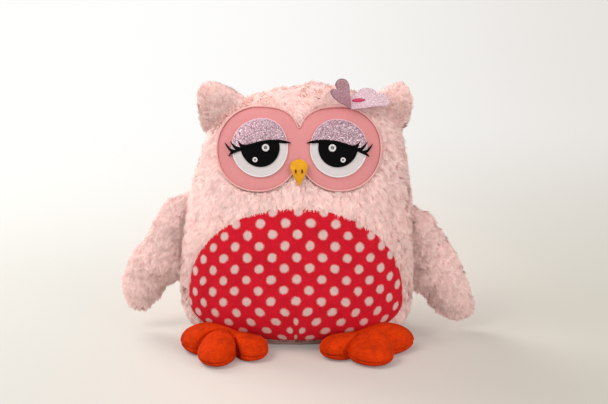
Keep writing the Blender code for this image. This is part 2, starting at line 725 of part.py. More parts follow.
def add_beak():
    place = face_frame(FACE_SHIFT, FACE_HEIGHT)
    widest = -BEAK_TOP_DROP - BEAK_LENGTH * BEAK_WIDEST_SHARE
    tip = -BEAK_TOP_DROP - BEAK_LENGTH
    points = []
    for index in range(BEAK_SIDES):
        turn = 2 * math.pi * index / BEAK_SIDES
        out, up = BEAK_HALF_WIDTH * math.cos(turn), math.sin(turn)
        if up >= 0:
            points.append((out, widest + BEAK_LENGTH * BEAK_WIDEST_SHARE * up))
        else:
            fall = -up
            pinch = 1 - BEAK_PINCH_SHARE * fall * (1 - fall)
            points.append((out * pinch, widest + (tip - widest) * fall))
    centre = (0, widest)
    on_mask = MASK_TOP + LAYER_GAP
    on_fur = LAYER_GAP
    waist = -MASK_WAIST

    def low(u, w, share):
        climb = min(max((waist + 2 * EDGING_RADIUS + BEAK_RAMP - w) / BEAK_RAMP, 0.0), 1.0)
        return on_mask + (on_fur - on_mask) * climb

    def high(u, w, share):
        dome = math.sqrt(1 - min(share, 1.0) ** 2)
        return low(u, w, share) + BEAK_THICKNESS * (BEAK_EDGE_SHARE + (1 - BEAK_EDGE_SHARE) * dome)

    beak = pad_mesh(points, place, low, high, BEAK_STEPS, centre)
    add_node("beak", beak, "yellow_felt", place(0, widest, 0))
    for side_name, side in SIDES.items():
        at_out = side * NOSTRIL_SPACING
        at_up = widest - NOSTRIL_HALF_HEIGHT

        def nostril_low(u, w, share):
            reach = math.hypot((at_out + u) / BEAK_HALF_WIDTH, (at_up + w - widest) / (tip - widest))
            return high(at_out + u, at_up + w, reach) + LAYER_GAP

        def nostril_high(u, w, share):
            return nostril_low(u, w, share) + NOSTRIL_THICKNESS

        def nostril_place(u, w, lift):
            return place(at_out + u, at_up + w, lift)

        oval = [(NOSTRIL_HALF_WIDTH * a, NOSTRIL_HALF_HEIGHT * b) for a, b in circle(1, NOSTRIL_SIDES)]
        nostril = pad_mesh(oval, nostril_place, nostril_low, nostril_high, 1)
        add_node("nostril_" + side_name, nostril, "brown_thread", place(at_out, at_up, 0))


# Stuffed forms with a seam all round
def pillow_mesh(outline, centre, upper, lower, steps, to_world):
    def ring(share, height):
        points = []
        for index, (a, b) in enumerate(outline):
            across = centre[0] + (a - centre[0]) * share
            along = centre[1] + (b - centre[1]) * share
            points.append(to_world(across, along, height(share, index)))
        return points
    shares = [math.sin(math.pi / 2 * step / steps) for step in range(1, steps)]
    rings = [[to_world(*centre, lower(0, 0))]]
    rings += [ring(share, lower) for share in shares]
    rings.append(ring(1, upper))
    rings += [ring(share, upper) for share in reversed(shares)]
    rings.append([to_world(*centre, upper(0, 0))])
    mesh = bmesh.new()
    add_loft(mesh, rings)
    return mesh


def drawn_in(outline, wall, centre):
    # Outline drawn towards its centre until it lies one wall inside its own run
    points = []
    for index, (a, b) in enumerate(outline):
        before, after = outline[index - 1], outline[(index + 1) % len(outline)]
        run, rise = after[0] - before[0], after[1] - before[1]
        across, along = a - centre[0], b - centre[1]
        clear = abs(across * rise - along * run) / math.hypot(run, rise)
        scale = 1 - wall / clear
        points.append((centre[0] + across * scale, centre[1] + along * scale))
    return points


def flat_standing(a, b, height):
    return Vector((a, -height, b))


def side_seam(height, side):
    wide, front, back, lean = section(height)
    return lean + side * (wide + BODY_CLEARANCE)


def wing_outline(side, hang, count):
    top = WING_TOP - hang
    tip = WING_TIP_HEIGHT - hang
    tall = top - tip
    edge = [(WING_REACH * out, tip + tall * up) for out, up in WING_EDGE_SHARES]
    free = even_outline(edge, count * 2 // 3, closed=False)
    root_count = count - len(free)
    low, high = free[-1][1], free[0][1]
    root = [(0.0, low + (high - low) * (step + 1) / (root_count + 1)) for step in range(root_count)]
    points = []
    for out, up in free + root:
        seam = side_seam(min(max(up, low), high), side)
        points.append((seam + side * out, up))
    return points


def add_wing(side_name):
    side = SIDES[side_name]
    hang = WING_HANG[side_name]
    outline = wing_outline(side, hang, WING_SIDES)
    top, bottom = WING_TOP - hang, WING_ROOT_BOTTOM - hang
    centre_height = WING_TIP_HEIGHT - hang + (WING_TOP - WING_TIP_HEIGHT) * WING_CENTRE_SHARES[1]
    centre = (side_seam(centre_height, side) + side * WING_REACH * WING_CENTRE_SHARES[0], centre_height)
    hinge = Vector((side_seam((top + bottom) / 2, side), 0, (top + bottom) / 2))
    pivot = add_pivot("wing_" + side_name + "_hinge", hinge)

    def fullness(half_thickness):
        def height(share, index):
            # Thin as a wedge towards the seam, round towards the free edge
            a, b = outline[index]
            near_root = 1 - min(abs(a - side_seam(b, side)) / (WING_REACH * WING_CENTRE_SHARES[0]), 1.0)
            power = WING_EDGE_POWER + (WING_SEAM_POWER - WING_EDGE_POWER) * near_root
            return half_thickness * (1 - share ** WING_ROUND_POWER) ** power
        return height

    def build(inset, steps, points):
        height = fullness(WING_HALF_THICKNESS - inset)
        return pillow_mesh(points, centre, height, lambda share, index: -height(share, index),
                           steps, flat_standing)

    outer = build(0, WING_STEPS, outline)
    inner_outline = drawn_in(outline, WING_WALL, centre)
    inner = add_cutter("wing_" + side_name + "_cutter", build(WING_WALL, WING_CORE_STEPS, inner_outline),
                       hinge, pivot)
    for face_name, direction in (("front", -1), ("back", 1)):
        panel = outer.copy()
        keep_side(panel, (0, direction * SEAM_GAP / 2, 0), (0, -direction, 0))
        item = add_node("wing_" + face_name + "_" + side_name, panel, "pink_fur", hinge, pivot)
        cut(item, inner)
    outer.free()
    core_outline = drawn_in(outline, WING_WALL + LAYER_GAP, centre)
    core = build(WING_WALL + LAYER_GAP, WING_CORE_STEPS, core_outline)
    add_node("wing_filling_" + side_name, core, "fibre_filling", hinge, pivot)


def add_ear(side_name, head_cutter):
    side = SIDES[side_name]
    lean = section(EAR_CENTRE_HEIGHT)[3]
    centre = (lean + side * EAR_CENTRE_OUT, EAR_CENTRE_HEIGHT)
    shape = even_outline(EAR_EDGE_SHARES, EAR_SIDES)
    outline = [(centre[0] + side * EAR_HALF_WIDTH * a, centre[1] + EAR_HALF_HEIGHT * b) for a, b in shape]

    def build(inset, steps):
        thick = EAR_HALF_THICKNESS - inset
        return pillow_mesh(drawn_in(outline, inset, centre), centre,
                           lambda share, index: thick * math.sqrt(1 - share ** EAR_ROUND_POWER),
                           lambda share, index: -thick * math.sqrt(1 - share ** EAR_ROUND_POWER),
                           steps, flat_standing)

    pivot = (centre[0], 0, centre[1])
    outer = build(0, EAR_STEPS)
    inner = add_cutter("ear_" + side_name + "_cutter", build(EAR_WALL, EAR_CORE_STEPS), pivot)
    for face_name, direction in (("front", -1), ("back", 1)):
        panel = outer.copy()
        keep_side(panel, (0, direction * SEAM_GAP / 2, 0), (0, -direction, 0))
        item = add_node("ear_" + face_name + "_" + side_name, panel, "pink_fur", pivot)
        cut(item, inner, head_cutter)
    outer.free()
    core = build(EAR_WALL + LAYER_GAP, EAR_CORE_STEPS)
    item = add_node("ear_filling_" + side_name, core, "fibre_filling", pivot)
    cut(item, head_cutter)


def flat_lying(a, b, height):
    return Vector((a, b, height))


def add_foot(side_name, body_cutter):
    side = SIDES[side_name]
    centre = (side * FOOT_CENTRE_OUT, -FOOT_CENTRE_FORWARD)
    shape = even_outline(FOOT_EDGE_SHARES, FOOT_SIDES)
    outline = [(centre[0] + side * FOOT_HALF_WIDTH * a, centre[1] - FOOT_REACH * b) for a, b in shape]
    notches = [math.atan2(-FOOT_REACH * b, side * FOOT_HALF_WIDTH * a) for a, b in FOOT_NOTCH_SHARES]
    hinge = Vector((side * FOOT_CENTRE_OUT, -FOOT_HINGE_FORWARD, 0))
    pivot = add_pivot("foot_" + side_name + "_hinge", hinge)

    def dimple(share, index):
        # Sewn valleys between the toes
        a, b = outline[index]
        turn = math.atan2(b - centre[1], a - centre[0])
        depth = 0.0
        for notch in notches:
            off = math.degrees(math.remainder(turn - notch, 2 * math.pi))
            depth += math.exp(-(off / FOOT_DIMPLE_WIDTH_DEGREES) ** 2)
        return 1 - FOOT_DIMPLE_SHARE * depth * share ** FOOT_DIMPLE_POWER

    def build(inset, steps):
        rise = FOOT_RISE - inset
        drop = FOOT_SEAM_HEIGHT + FLAT_CUT - inset

        def upper(share, index):
            if share == 0:
                return FOOT_SEAM_HEIGHT + rise
            return FOOT_SEAM_HEIGHT + rise * math.sqrt(1 - share ** FOOT_ROUND_POWER) * dimple(share, index)

        def lower(share, index):
            return FOOT_SEAM_HEIGHT - drop * math.sqrt(1 - share ** SOLE_ROUND_POWER)
        return pillow_mesh(drawn_in(outline, inset, centre), centre, upper, lower, steps, flat_lying)

    outer = build(0, FOOT_STEPS)
    keep_side(outer, (0, 0, 0), (0, 0, -1))
    inner = add_cutter("foot_" + side_name + "_cutter", build(FOOT_WALL, FOOT_CORE_STEPS), hinge, pivot)
    for name, height, direction in (("foot_upper_", FOOT_SEAM_HEIGHT + SEAM_GAP / 2, -1),
                                    ("foot_sole_", FOOT_SEAM_HEIGHT - SEAM_GAP / 2, 1)):
        panel = outer.copy()
        keep_side(panel, (0, 0, height), (0, 0, direction))
        item = add_node(name + side_name, panel, "orange_velour", hinge, pivot)
        cut(item, inner, body_cutter)
    outer.free()
    core = build(FOOT_WALL + LAYER_GAP, FOOT_CORE_STEPS)
    item = add_node("foot_filling_" + side_name, core, "fibre_filling", hinge, pivot)
    cut(item, body_cutter)


def add_butterfly():
    base = front_point(BUTTERFLY_OUT, BUTTERFLY_HEIGHT, 0)
    normal = body_normal(*base)
    fold = Vector((0, -normal.z, normal.y)).normalized()
    if fold.z < 0:
        fold = -fold
    outward = fold.cross(normal).normalized()
    if outward.x < 0:
        outward = -outward
    start = base + normal * (BUTTERFLY_THICKNESS / 2 + LAYER_GAP - BUTTERFLY_SINK)
    shape = even_outline(BUTTERFLY_EDGE_SHARES, BUTTERFLY_SIDES)
    pivot = add_pivot("butterfly_fold", start)

    def sheet_frame(side, degrees):
        turn = math.radians(degrees)
        along = side * math.cos(turn) * outward + math.sin(turn) * normal
        face = -side * math.sin(turn) * outward + math.cos(turn) * normal
        return along, face

    def sheet_mesh(side, degrees):
        along, face = sheet_frame(side, degrees)
        outline = []
        for a, b in shape:
            outline.append((BUTTERFLY_FOLD_GAP + BUTTERFLY_SPAN * max(a, 0), BUTTERFLY_LENGTH * b))

        def place(a, b, lift):
            return start + along * a + fold * b + face * lift
        half = BUTTERFLY_THICKNESS / 2
        return flat_shape_mesh(outline, place, at(-half), BUTTERFLY_THICKNESS)

    raised = sheet_mesh(-1, BUTTERFLY_RAISED_DEGREES)
    add_node("butterfly_wing_raised", raised, "butterfly_glitter", start, pivot)
    add_node("butterfly_wing_flat", sheet_mesh(1, BUTTERFLY_FLAT_DEGREES), "butterfly_glitter", start)

    along, face = sheet_frame(1, BUTTERFLY_FLAT_DEGREES)
    middle = start + along * STITCH_OFFSET + face * (BUTTERFLY_THICKNESS / 2 + LAYER_GAP)
    oval = [(STITCH_HALF_LENGTH * a, STITCH_HALF_WIDTH * b) for a, b in circle(1, STITCH_SIDES)]

    def stitch_place(a, b, lift):
        return middle + along * a + fold * b + face * lift

    def stitch_high(u, w, share):
        dome = math.sqrt(1 - share ** 2)
        return STITCH_THICKNESS * (STITCH_EDGE_SHARE + (1 - STITCH_EDGE_SHARE) * dome)

    stitch = pad_mesh(oval, stitch_place, at(0), stitch_high, STITCH_STEPS)
    add_node("butterfly_body", stitch, "magenta_thread", middle)


def build():
    clear_scene()
    add_body()
    add_beak()
    head_cutter = add_cutter("head_cutter", body_mesh(BODY_COLUMNS, BODY_RINGS, BODY_CLEARANCE))
    for side_name in SIDES:
        add_eye(side_name)
        add_wing(side_name)
        add_ear(side_name, head_cutter)
        add_foot(side_name, head_cutter)
    add_butterfly()


build()
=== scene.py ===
# Plush owl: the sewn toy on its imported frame, dressed in fur, fleece, felt, thread and glitter
import json
import math

import bmesh
import bpy
import numpy as np
from mathutils import Matrix, Vector, noise

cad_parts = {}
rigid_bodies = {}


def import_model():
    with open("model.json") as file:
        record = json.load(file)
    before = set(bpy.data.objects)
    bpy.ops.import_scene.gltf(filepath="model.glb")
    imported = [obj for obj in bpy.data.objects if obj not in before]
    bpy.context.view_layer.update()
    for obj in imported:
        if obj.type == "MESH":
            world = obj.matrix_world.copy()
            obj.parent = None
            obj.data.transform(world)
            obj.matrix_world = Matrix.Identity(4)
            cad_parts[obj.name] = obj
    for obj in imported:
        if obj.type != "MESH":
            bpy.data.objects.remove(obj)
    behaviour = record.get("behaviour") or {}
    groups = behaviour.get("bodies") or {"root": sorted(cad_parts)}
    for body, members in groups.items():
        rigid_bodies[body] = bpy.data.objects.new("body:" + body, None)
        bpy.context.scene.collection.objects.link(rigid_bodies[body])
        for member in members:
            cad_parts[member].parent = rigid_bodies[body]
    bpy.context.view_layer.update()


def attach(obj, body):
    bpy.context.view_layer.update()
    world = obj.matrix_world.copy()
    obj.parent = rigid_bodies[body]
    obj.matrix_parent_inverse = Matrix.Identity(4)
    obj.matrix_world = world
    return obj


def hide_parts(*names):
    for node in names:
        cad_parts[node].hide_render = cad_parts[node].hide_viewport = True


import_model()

mm = 0.001
sides = {"left": 1, "right": -1}   # the owl's own left is +X

# the sewn form, in the same sizes as the solids
bodyForm = {
    "height": 250.5 * mm, "halfWidth": 117 * mm, "belly": 84 * mm, "back": 68 * mm, "lean": 14 * mm,
    "power": 2.3, "probe": 1.5 * mm,
    # height, half width, front, back and lean, as shares from the base to the crown
    "stations": [(0.000, 0.786, 0.667, 0.706, 0.00), (0.024, 0.872, 0.774, 0.794, 0.00),
                 (0.056, 0.932, 0.869, 0.882, -0.02), (0.104, 0.983, 0.952, 0.956, -0.05),
                 (0.168, 1.000, 1.000, 1.000, -0.07), (0.255, 1.000, 1.000, 1.000, -0.04),
                 (0.351, 0.991, 0.982, 0.993, 0.00), (0.447, 0.974, 0.940, 0.971, 0.07),
                 (0.535, 0.953, 0.869, 0.934, 0.18), (0.623, 0.919, 0.792, 0.890, 0.29),
                 (0.711, 0.876, 0.714, 0.831, 0.39), (0.798, 0.830, 0.625, 0.750, 0.47),
                 (0.862, 0.765, 0.530, 0.647, 0.57), (0.918, 0.640, 0.417, 0.522, 0.71),
                 (0.962, 0.462, 0.286, 0.368, 0.86), (0.990, 0.250, 0.149, 0.191, 0.96),
                 (1.000, 0.000, 0.000, 0.000, 1.00)],
}


def smoothCurve(points, count, closed=False):
    pts = np.array(points, float)
    spans = len(pts) if closed else len(pts) - 1
    place = np.linspace(0, spans, count, endpoint=not closed)
    span = np.minimum(place.astype(int), spans - 1)
    t = (place - span)[:, None]
    near = [(span + k) % len(pts) if closed else np.clip(span + k, 0, len(pts) - 1) for k in (-1, 0, 1, 2)]
    a, b, c, d = (pts[k] for k in near)
    return b + t * ((c - a) / 2 + t * (a - 2.5 * b + 2 * c - d / 2 + t * (1.5 * (b - c) + (d - a) / 2)))


def evenly(points, count, closed=True, smooth=True):
    # the same run with its points at equal steps
    dense = smoothCurve(points, count * 8, closed) if smooth else np.array(points, float)
    if closed:
        dense = np.vstack([dense, dense[:1]])
    run = np.r_[0, np.cumsum(np.linalg.norm(np.diff(dense, axis=0), axis=1))]
    goal = np.linspace(0, run[-1], count, endpoint=not closed)
    return np.column_stack([np.interp(goal, run, dense[:, k]) for k in range(dense.shape[1])])


def onLoop(loop, share):
    whole = np.vstack([loop, loop[:1]])
    ticks = np.linspace(0, 1, len(whole))
    return np.column_stack([np.interp(share % 1, ticks, whole[:, k]) for k in range(whole.shape[1])])


def loopArea(loop):
    # above zero where the loop runs anticlockwise
    after = np.roll(loop, -1, 0)
    return 0.5 * np.sum(loop[:, 0] * after[:, 1] - after[:, 0] * loop[:, 1])


def loopNormals(loop):
    run = np.roll(loop, -1, 0) - np.roll(loop, 1, 0)
    out = np.column_stack([run[:, 1], -run[:, 0]]) * np.sign(loopArea(loop))
    return out / np.linalg.norm(out, axis=1)[:, None]


def fullTurn(count):
    return np.linspace(0, 2 * math.pi, count, endpoint=False)


def circleLoop(radius, count, rise=0.0):
    turn = fullTurn(count)
    return np.column_stack([radius * np.cos(turn), radius * np.sin(turn) + rise])


def ease(value, low, high):
    share = np.clip((value - low) / (high - low), 0, 1)
    return share * share * (3 - 2 * share)


def bell(off, spread):
    return np.exp(-(off / spread) ** 2)


def domed(share, power=2):
    return np.sqrt(np.clip(1 - share ** power, 0, 1))


def signedPower(value, power):
    return np.sign(value) * np.abs(value) ** power


def waves(points, size, seed=0.0):
    # soft unevenness of about the given size, -1 to 1
    shift = Vector((seed, seed * 1.7, seed * 0.6))
    return np.array([noise.noise(Vector(p) / size + shift) for p in points])


profile = smoothCurve(bodyForm["stations"], 600)


def bodySection(z):
    share = np.clip(np.asarray(z, float) / bodyForm["height"], 0, 1)
    wide, front, back, lean = (np.interp(share, profile[:, 0], profile[:, k]) for k in (1, 2, 3, 4))
    return (wide * bodyForm["halfWidth"], front * bodyForm["belly"], back * bodyForm["back"],
            lean * bodyForm["lean"])


def bodyLevel(x, y, z):
    wide, front, back, lean = bodySection(z)
    deep = np.where(y < 0, front, back)
    tiny = bodyForm["probe"]
    level = (np.abs(x - lean) / np.maximum(wide, tiny)) ** bodyForm["power"]
    return level + (np.abs(y) / np.maximum(deep, tiny)) ** bodyForm["power"] - 1


def bodySlope(x, y, z):
    step = bodyForm["probe"]
    low = np.maximum(z - step, 0)
    high = np.minimum(z + step, bodyForm["height"] - step)
    return np.column_stack([
        bodyLevel(x + step, y, z) - bodyLevel(x - step, y, z),
        bodyLevel(x, y + step, z) - bodyLevel(x, y - step, z),
        (bodyLevel(x, y, high) - bodyLevel(x, y, low)) * 2 * step / (high - low)]) / (2 * step)


def bodyNormal(x, y, z):
    slope = bodySlope(x, y, z)
    return slope / np.linalg.norm(slope, axis=1)[:, None]


def bodyLift(x, y, z):
    # about how far a place lies outside the body
    return bodyLevel(x, y, z) / np.linalg.norm(bodySlope(x, y, z), axis=1)


def frontWall(x, z):
    # where the body's front lies, and how far within its outline
    wide, front, _, lean = bodySection(z)
    within = np.clip(1 - (np.abs(x - lean) / wide) ** bodyForm["power"], 0, 1)
    return -front * within ** (1 / bodyForm["power"]), within


def frontPoint(x, z, lift):
    x, z = (np.atleast_1d(value).astype(float) for value in (x, z))
    y, _ = frontWall(x, z)
    return np.column_stack([x, y, z]) + bodyNormal(x, y, z) * np.reshape(lift, (-1, 1))


def faceFrame(x, z, side=1):
    # lays a flat outline, out and up from a middle, on the body's front
    (n,) = bodyNormal(*frontPoint(x, z, 0).T)
    across, upward = 1 / math.hypot(1, n[0] / n[1]), 1 / math.hypot(1, n[2] / n[1])

    def place(out, up, lift):
        return frontPoint(x + side * np.atleast_1d(out) * across, z + np.atleast_1d(up) * upward, lift)
    place.local = lambda px, pz: np.column_stack([(px - x) / across * side, (pz - z) / upward])
    return place


# making and finishing pieces
def keepMesh(name, work):
    mesh = bpy.data.meshes.new(name)
    work.to_mesh(mesh)
    work.free()
    return mesh


def hangObject(name, data):
    item = bpy.data.objects.new(name, data)
    bpy.context.collection.objects.link(item)
    return item


def keepPiece(name, work, material, body, replaced=()):
    return hangPiece(name, keepMesh(name, work), material, body, replaced)


def hangPiece(name, mesh, material, body, replaced=()):
    mesh.materials.clear()
    mesh.materials.append(material)
    mesh.shade_smooth()
    piece = hangObject(name, mesh)
    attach(piece, body)
    if replaced:
        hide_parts(*replaced)
    return piece


def placesOf(verts):
    return np.array([v.co for v in verts])


def setPlaces(verts, places):
    for vert, place in zip(verts, places):
        vert.co = place


def setFloats(mesh, word, values, kind="FLOAT"):
    layer = mesh.attributes.get(word) or mesh.attributes.new(word, kind, "POINT")
    layer.data.foreach_set("vector" if kind == "FLOAT_VECTOR" else "value",
                           np.asarray(values, np.float32).ravel())


def readFloats(holder, word, count):
    values = np.zeros(count, np.float32)
    holder.foreach_get(word, values)
    return values


def drawnBall(across, down, shape):
    # a ball whose points are drawn out to a closed form: turn runs round it, fall from top to bottom
    ball = bmesh.new()
    bmesh.ops.create_uvsphere(ball, u_segments=across, v_segments=down, radius=1)
    co = placesOf(ball.verts)
    turn = np.arctan2(co[:, 1], co[:, 0]) / (2 * math.pi) % 1
    fall = np.arccos(np.clip(co[:, 2], -1, 1)) / math.pi
    # the ball's faces come in another order each run, so they are laid again in a fixed one for the fur
    rings = []
    for face in ball.faces:
        ring = [vert.index for vert in face.verts]
        first = ring.index(min(ring))
        rings.append(ring[first:] + ring[:first])
    ball.free()
    work = bmesh.new()
    verts = [work.verts.new(spot) for spot in shape(turn, fall)]
    for ring in sorted(rings):
        work.faces.new([verts[index] for index in ring])
    bmesh.ops.recalc_face_normals(work, faces=work.faces)
    if work.calc_volume(signed=True) < 0:
        bmesh.ops.reverse_faces(work, faces=work.faces)
    return work


def padShape(loop, place, low, high, centre=(0, 0), crown=10):
    # flat form between two lifts, with a rounded rim
    centre = np.array(centre)

    def shape(turn, fall):
        share = np.sin(math.pi * fall)
        spot = centre + (onLoop(loop, turn) - centre) * share[:, None]
        swell = domed(share, crown) * np.sign(np.cos(math.pi * fall))
        bottom, top = (lift(spot[:, 0], spot[:, 1], share) for lift in (low, high))
        shape.share = share
        return place(spot[:, 0], spot[:, 1], (top + bottom) / 2 + (top - bottom) / 2 * swell)
    return shape


def level(lift):
    return lambda out, up, share: np.full(len(share), lift)


def threadRound(loop, place, lift, radius, steps, ribs, ribDepth):
    # a round of thread: one circle spun once round, then laid along the loop
    work = bmesh.new()
    bmesh.ops.create_circle(work, segments=8, radius=radius)
    bmesh.ops.rotate(work, verts=work.verts, cent=(0, 0, 0), matrix=Matrix.Rotation(math.pi / 2, 3, "X"))
    bmesh.ops.translate(work, verts=work.verts, vec=(1, 0, 0))
    bmesh.ops.spin(work, geom=work.verts[:] + work.edges[:], cent=(0, 0, 0), axis=(0, 0, 1),
                   angle=2 * math.pi, steps=steps, use_merge=True)
    co = placesOf(work.verts)
    turn = np.arctan2(co[:, 1], co[:, 0]) / (2 * math.pi) % 1
    rib = 1 + ribDepth * (np.abs(np.sin(math.pi * ribs * turn)) - 0.5)
    aside = (np.hypot(co[:, 0], co[:, 1]) - 1) * rib
    spot = onLoop(loop, turn) + onLoop(loopNormals(loop), turn) * aside[:, None]
    setPlaces(work.verts, place(spot[:, 0], spot[:, 1], lift + co[:, 2] * rib))
    bmesh.ops.recalc_face_normals(work, faces=work.faces)
    return work


def cutShape(outline, place, low, thickness, edge):
    # a flat cut shape of any outline, given its thickness and a rounded upper edge
    work = bmesh.new()
    face = work.faces.new([work.verts.new((a, b, 0)) for a, b in outline])
    if loopArea(outline) < 0:
        bmesh.ops.reverse_faces(work, faces=[face])
    lower = bmesh.ops.duplicate(work, geom=[face])["geom"]
    top = [f for f in work.faces if f not in lower]
    raised = bmesh.ops.extrude_face_region(work, geom=top)["geom"]
    bmesh.ops.translate(work, verts=[v for v in raised if isinstance(v, bmesh.types.BMVert)],
                        vec=(0, 0, thickness * 0.6))
    cap = [f for f in raised if isinstance(f, bmesh.types.BMFace)]
    bmesh.ops.inset_region(work, faces=cap, thickness=edge, depth=0, use_even_offset=True)
    bmesh.ops.translate(work, verts=list({v for f in cap for v in f.verts}), vec=(0, 0, thickness * 0.4))
    bmesh.ops.delete(work, geom=top, context="FACES_ONLY")
    bmesh.ops.remove_doubles(work, verts=work.verts, dist=1e-7)
    bmesh.ops.triangulate(work, faces=[f for f in work.faces if len(f.verts) > 4])
    co = placesOf(work.verts)
    setPlaces(work.verts, place(co[:, 0], co[:, 1], low(co[:, 0], co[:, 1]) + co[:, 2]))
    bmesh.ops.recalc_face_normals(work, faces=work.faces)
    return work


# nodes: each is fed with numbers, colours or other nodes' outputs
def feed(tree, socket, value):
    if isinstance(value, bpy.types.NodeSocket):
        tree.links.new(value, socket)
    elif isinstance(value, tuple) and len(value) < len(socket.default_value):
        socket.default_value = (*value, 1)
    else:
        socket.default_value = value


def newNode(tree, kind, feeds=(), **settings):
    node = tree.nodes.new(kind)
    for word, value in settings.items():
        setattr(node, word, value)
    for key, value in dict(feeds).items():
        feed(tree, node.inputs[key], value)
    return node


def newGroup(name, inputs, outputs):
    group = bpy.data.node_groups.new(name, "ShaderNodeTree")
    for word, value in inputs.items():
        kind = "Color" if isinstance(value, tuple) else "Float"
        socket = group.interface.new_socket(word, in_out="INPUT", socket_type="NodeSocket" + kind)
        socket.default_value = value
    for word, kind in outputs.items():
        group.interface.new_socket(word, in_out="OUTPUT", socket_type="NodeSocket" + kind)
    return group, newNode(group, "NodeGroupInput").outputs, newNode(group, "NodeGroupOutput").inputs


def mathNode(tree, operation, *values):
    return newNode(tree, "ShaderNodeMath", enumerate(values), operation=operation).outputs[0]


def plus(tree, a, b):
    return mathNode(tree, "ADD", a, b)


def minus(tree, a, b):
    return mathNode(tree, "SUBTRACT", a, b)


def times(tree, a, b):
    return mathNode(tree, "MULTIPLY", a, b)


def vectorNode(tree, operation, a, b=None, scale=None):
    feeds = {key: value for key, value in ((0, a), (1, b), ("Scale", scale)) if value is not None}
    return newNode(tree, "ShaderNodeVectorMath", feeds, operation=operation).outputs[0]


def mixColour(tree, factor, a, b):
    return newNode(tree, "ShaderNodeMix", {0: factor, 6: a, 7: b}, data_type="RGBA").outputs[2]


def noiseAt(tree, vector, scale, detail=3.0, rough=0.55, out="Fac"):
    feeds = {"Vector": vector, "Scale": scale, "Detail": detail, "Roughness": rough}
    return newNode(tree, "ShaderNodeTexNoise", feeds).outputs[out]


def ramp(tree, value, low, high, toLow=0.0, toHigh=1.0):
    feeds = {"Value": value, "From Min": low, "From Max": high, "To Min": toLow, "To Max": toHigh}
    return newNode(tree, "ShaderNodeMapRange", feeds, interpolation_type="SMOOTHSTEP").outputs["Result"]


def noiseRamp(tree, spot, scale, detail, *limits):
    return ramp(tree, noiseAt(tree, spot, scale, detail), *limits)


def objectSpot(tree):
    return newNode(tree, "ShaderNodeTexCoord").outputs["Object"]


def attributeAt(tree, word):
    return newNode(tree, "ShaderNodeAttribute", attribute_name=word).outputs["Fac"]


def splitUp(tree, kind, value):
    return newNode(tree, "ShaderNodeSeparate" + kind, {0: value}).outputs


# shared effects, each a group that is built once
greyCard = (0.5, 0.5, 0.5, 1)


def buildNapGroup():
    # short pile or felt: mottled colour at two sizes, and the height of its fibres
    inputs = {"Colour": greyCard, "Mottle": 0.15, "Patch Scale": 60.0, "Fibre Scale": 1500.0}
    tree, given, made = newGroup("shortNap", inputs, {"Colour": "Color", "Height": "Float"})
    spot = objectSpot(tree)
    broad = noiseAt(tree, spot, given["Patch Scale"], 3)
    fine = noiseAt(tree, spot, given["Fibre Scale"], 2, 0.7)
    middle = noiseAt(tree, spot, times(tree, given["Fibre Scale"], 0.3), 2)
    both = plus(tree, times(tree, middle, 0.3), times(tree, fine, 0.25))
    both = plus(tree, times(tree, broad, 0.45), both)
    offset = times(tree, minus(tree, both, 0.5), given["Mottle"])
    factor = plus(tree, times(tree, offset, 4), 1)
    feed(tree, made["Colour"], vectorNode(tree, "SCALE", given["Colour"], scale=factor))
    feed(tree, made["Height"], plus(tree, times(tree, fine, 0.6), times(tree, middle, 0.4)))
    return tree


def buildGlitterGroup():
    # flakes of metal film, each with its own shade, tilt and roughness
    inputs = {"Dark": (0.2, 0.1, 0.15, 1), "Middle": (0.5, 0.35, 0.42, 1), "Light": (0.95, 0.85, 0.9, 1),
              "Scale": 1600.0, "Tilt": 0.8}
    outputs = {"Colour": "Color", "Roughness": "Float", "Normal": "Vector", "Metal": "Float"}
    tree, given, made = newGroup("glitterFlakes", inputs, outputs)
    flakes = newNode(tree, "ShaderNodeTexVoronoi",
                     {"Vector": objectSpot(tree), "Scale": given["Scale"], "Randomness": 1}).outputs["Color"]
    shade, sheen, metal = (splitUp(tree, "Color", flakes)[k] for k in range(3))
    colour = mixColour(tree, ramp(tree, shade, 0.0, 0.45), given["Dark"], given["Middle"])
    colour = mixColour(tree, ramp(tree, shade, 0.62, 1.0), colour, given["Light"])
    feed(tree, made["Colour"], colour)
    feed(tree, made["Roughness"], ramp(tree, sheen, 0, 1, 0.22, 0.55))
    feed(tree, made["Metal"], ramp(tree, metal, 0, 1, 0.15, 0.75))
    tilt = vectorNode(tree, "SCALE", vectorNode(tree, "SUBTRACT", flakes, (0.5, 0.5, 0.5)),
                      scale=given["Tilt"])
    tilt = vectorNode(tree, "ADD", tilt, newNode(tree, "ShaderNodeNewGeometry").outputs["Normal"])
    feed(tree, made["Normal"], vectorNode(tree, "NORMALIZE", tilt))
    return tree


def buildStitchGroup():
    # rows of satin stitches that run along X, uneven by hand, with painted shade darkening the groove between
    # rows
    inputs = {"Colour": greyCard, "Pitch": 0.0006, "Depth": 0.25}
    tree, given, made = newGroup("satinStitch", inputs, {"Colour": "Color", "Height": "Float"})
    spot = objectSpot(tree)
    along = mathNode(tree, "DIVIDE", splitUp(tree, "XYZ", spot)[0], given["Pitch"])
    along = plus(tree, along, times(tree, noiseAt(tree, spot, 400, 2), 2.0))
    row = mathNode(tree, "PINGPONG", along, 0.5)
    # painted shade: the colour darkens towards the groove between rows
    shade = plus(tree, times(tree, row, times(tree, given["Depth"], 2)), minus(tree, 1, given["Depth"]))
    feed(tree, made["Colour"], vectorNode(tree, "SCALE", given["Colour"], scale=shade))
    feed(tree, made["Height"], row)
    return tree


napGroup, glitterGroup, stitchGroup = buildNapGroup(), buildGlitterGroup(), buildStitchGroup()


def groupIn(tree, group, **feeds):
    words = {word.replace("_", " "): value for word, value in feeds.items()}
    return newNode(tree, "ShaderNodeGroup", words, node_tree=group).outputs


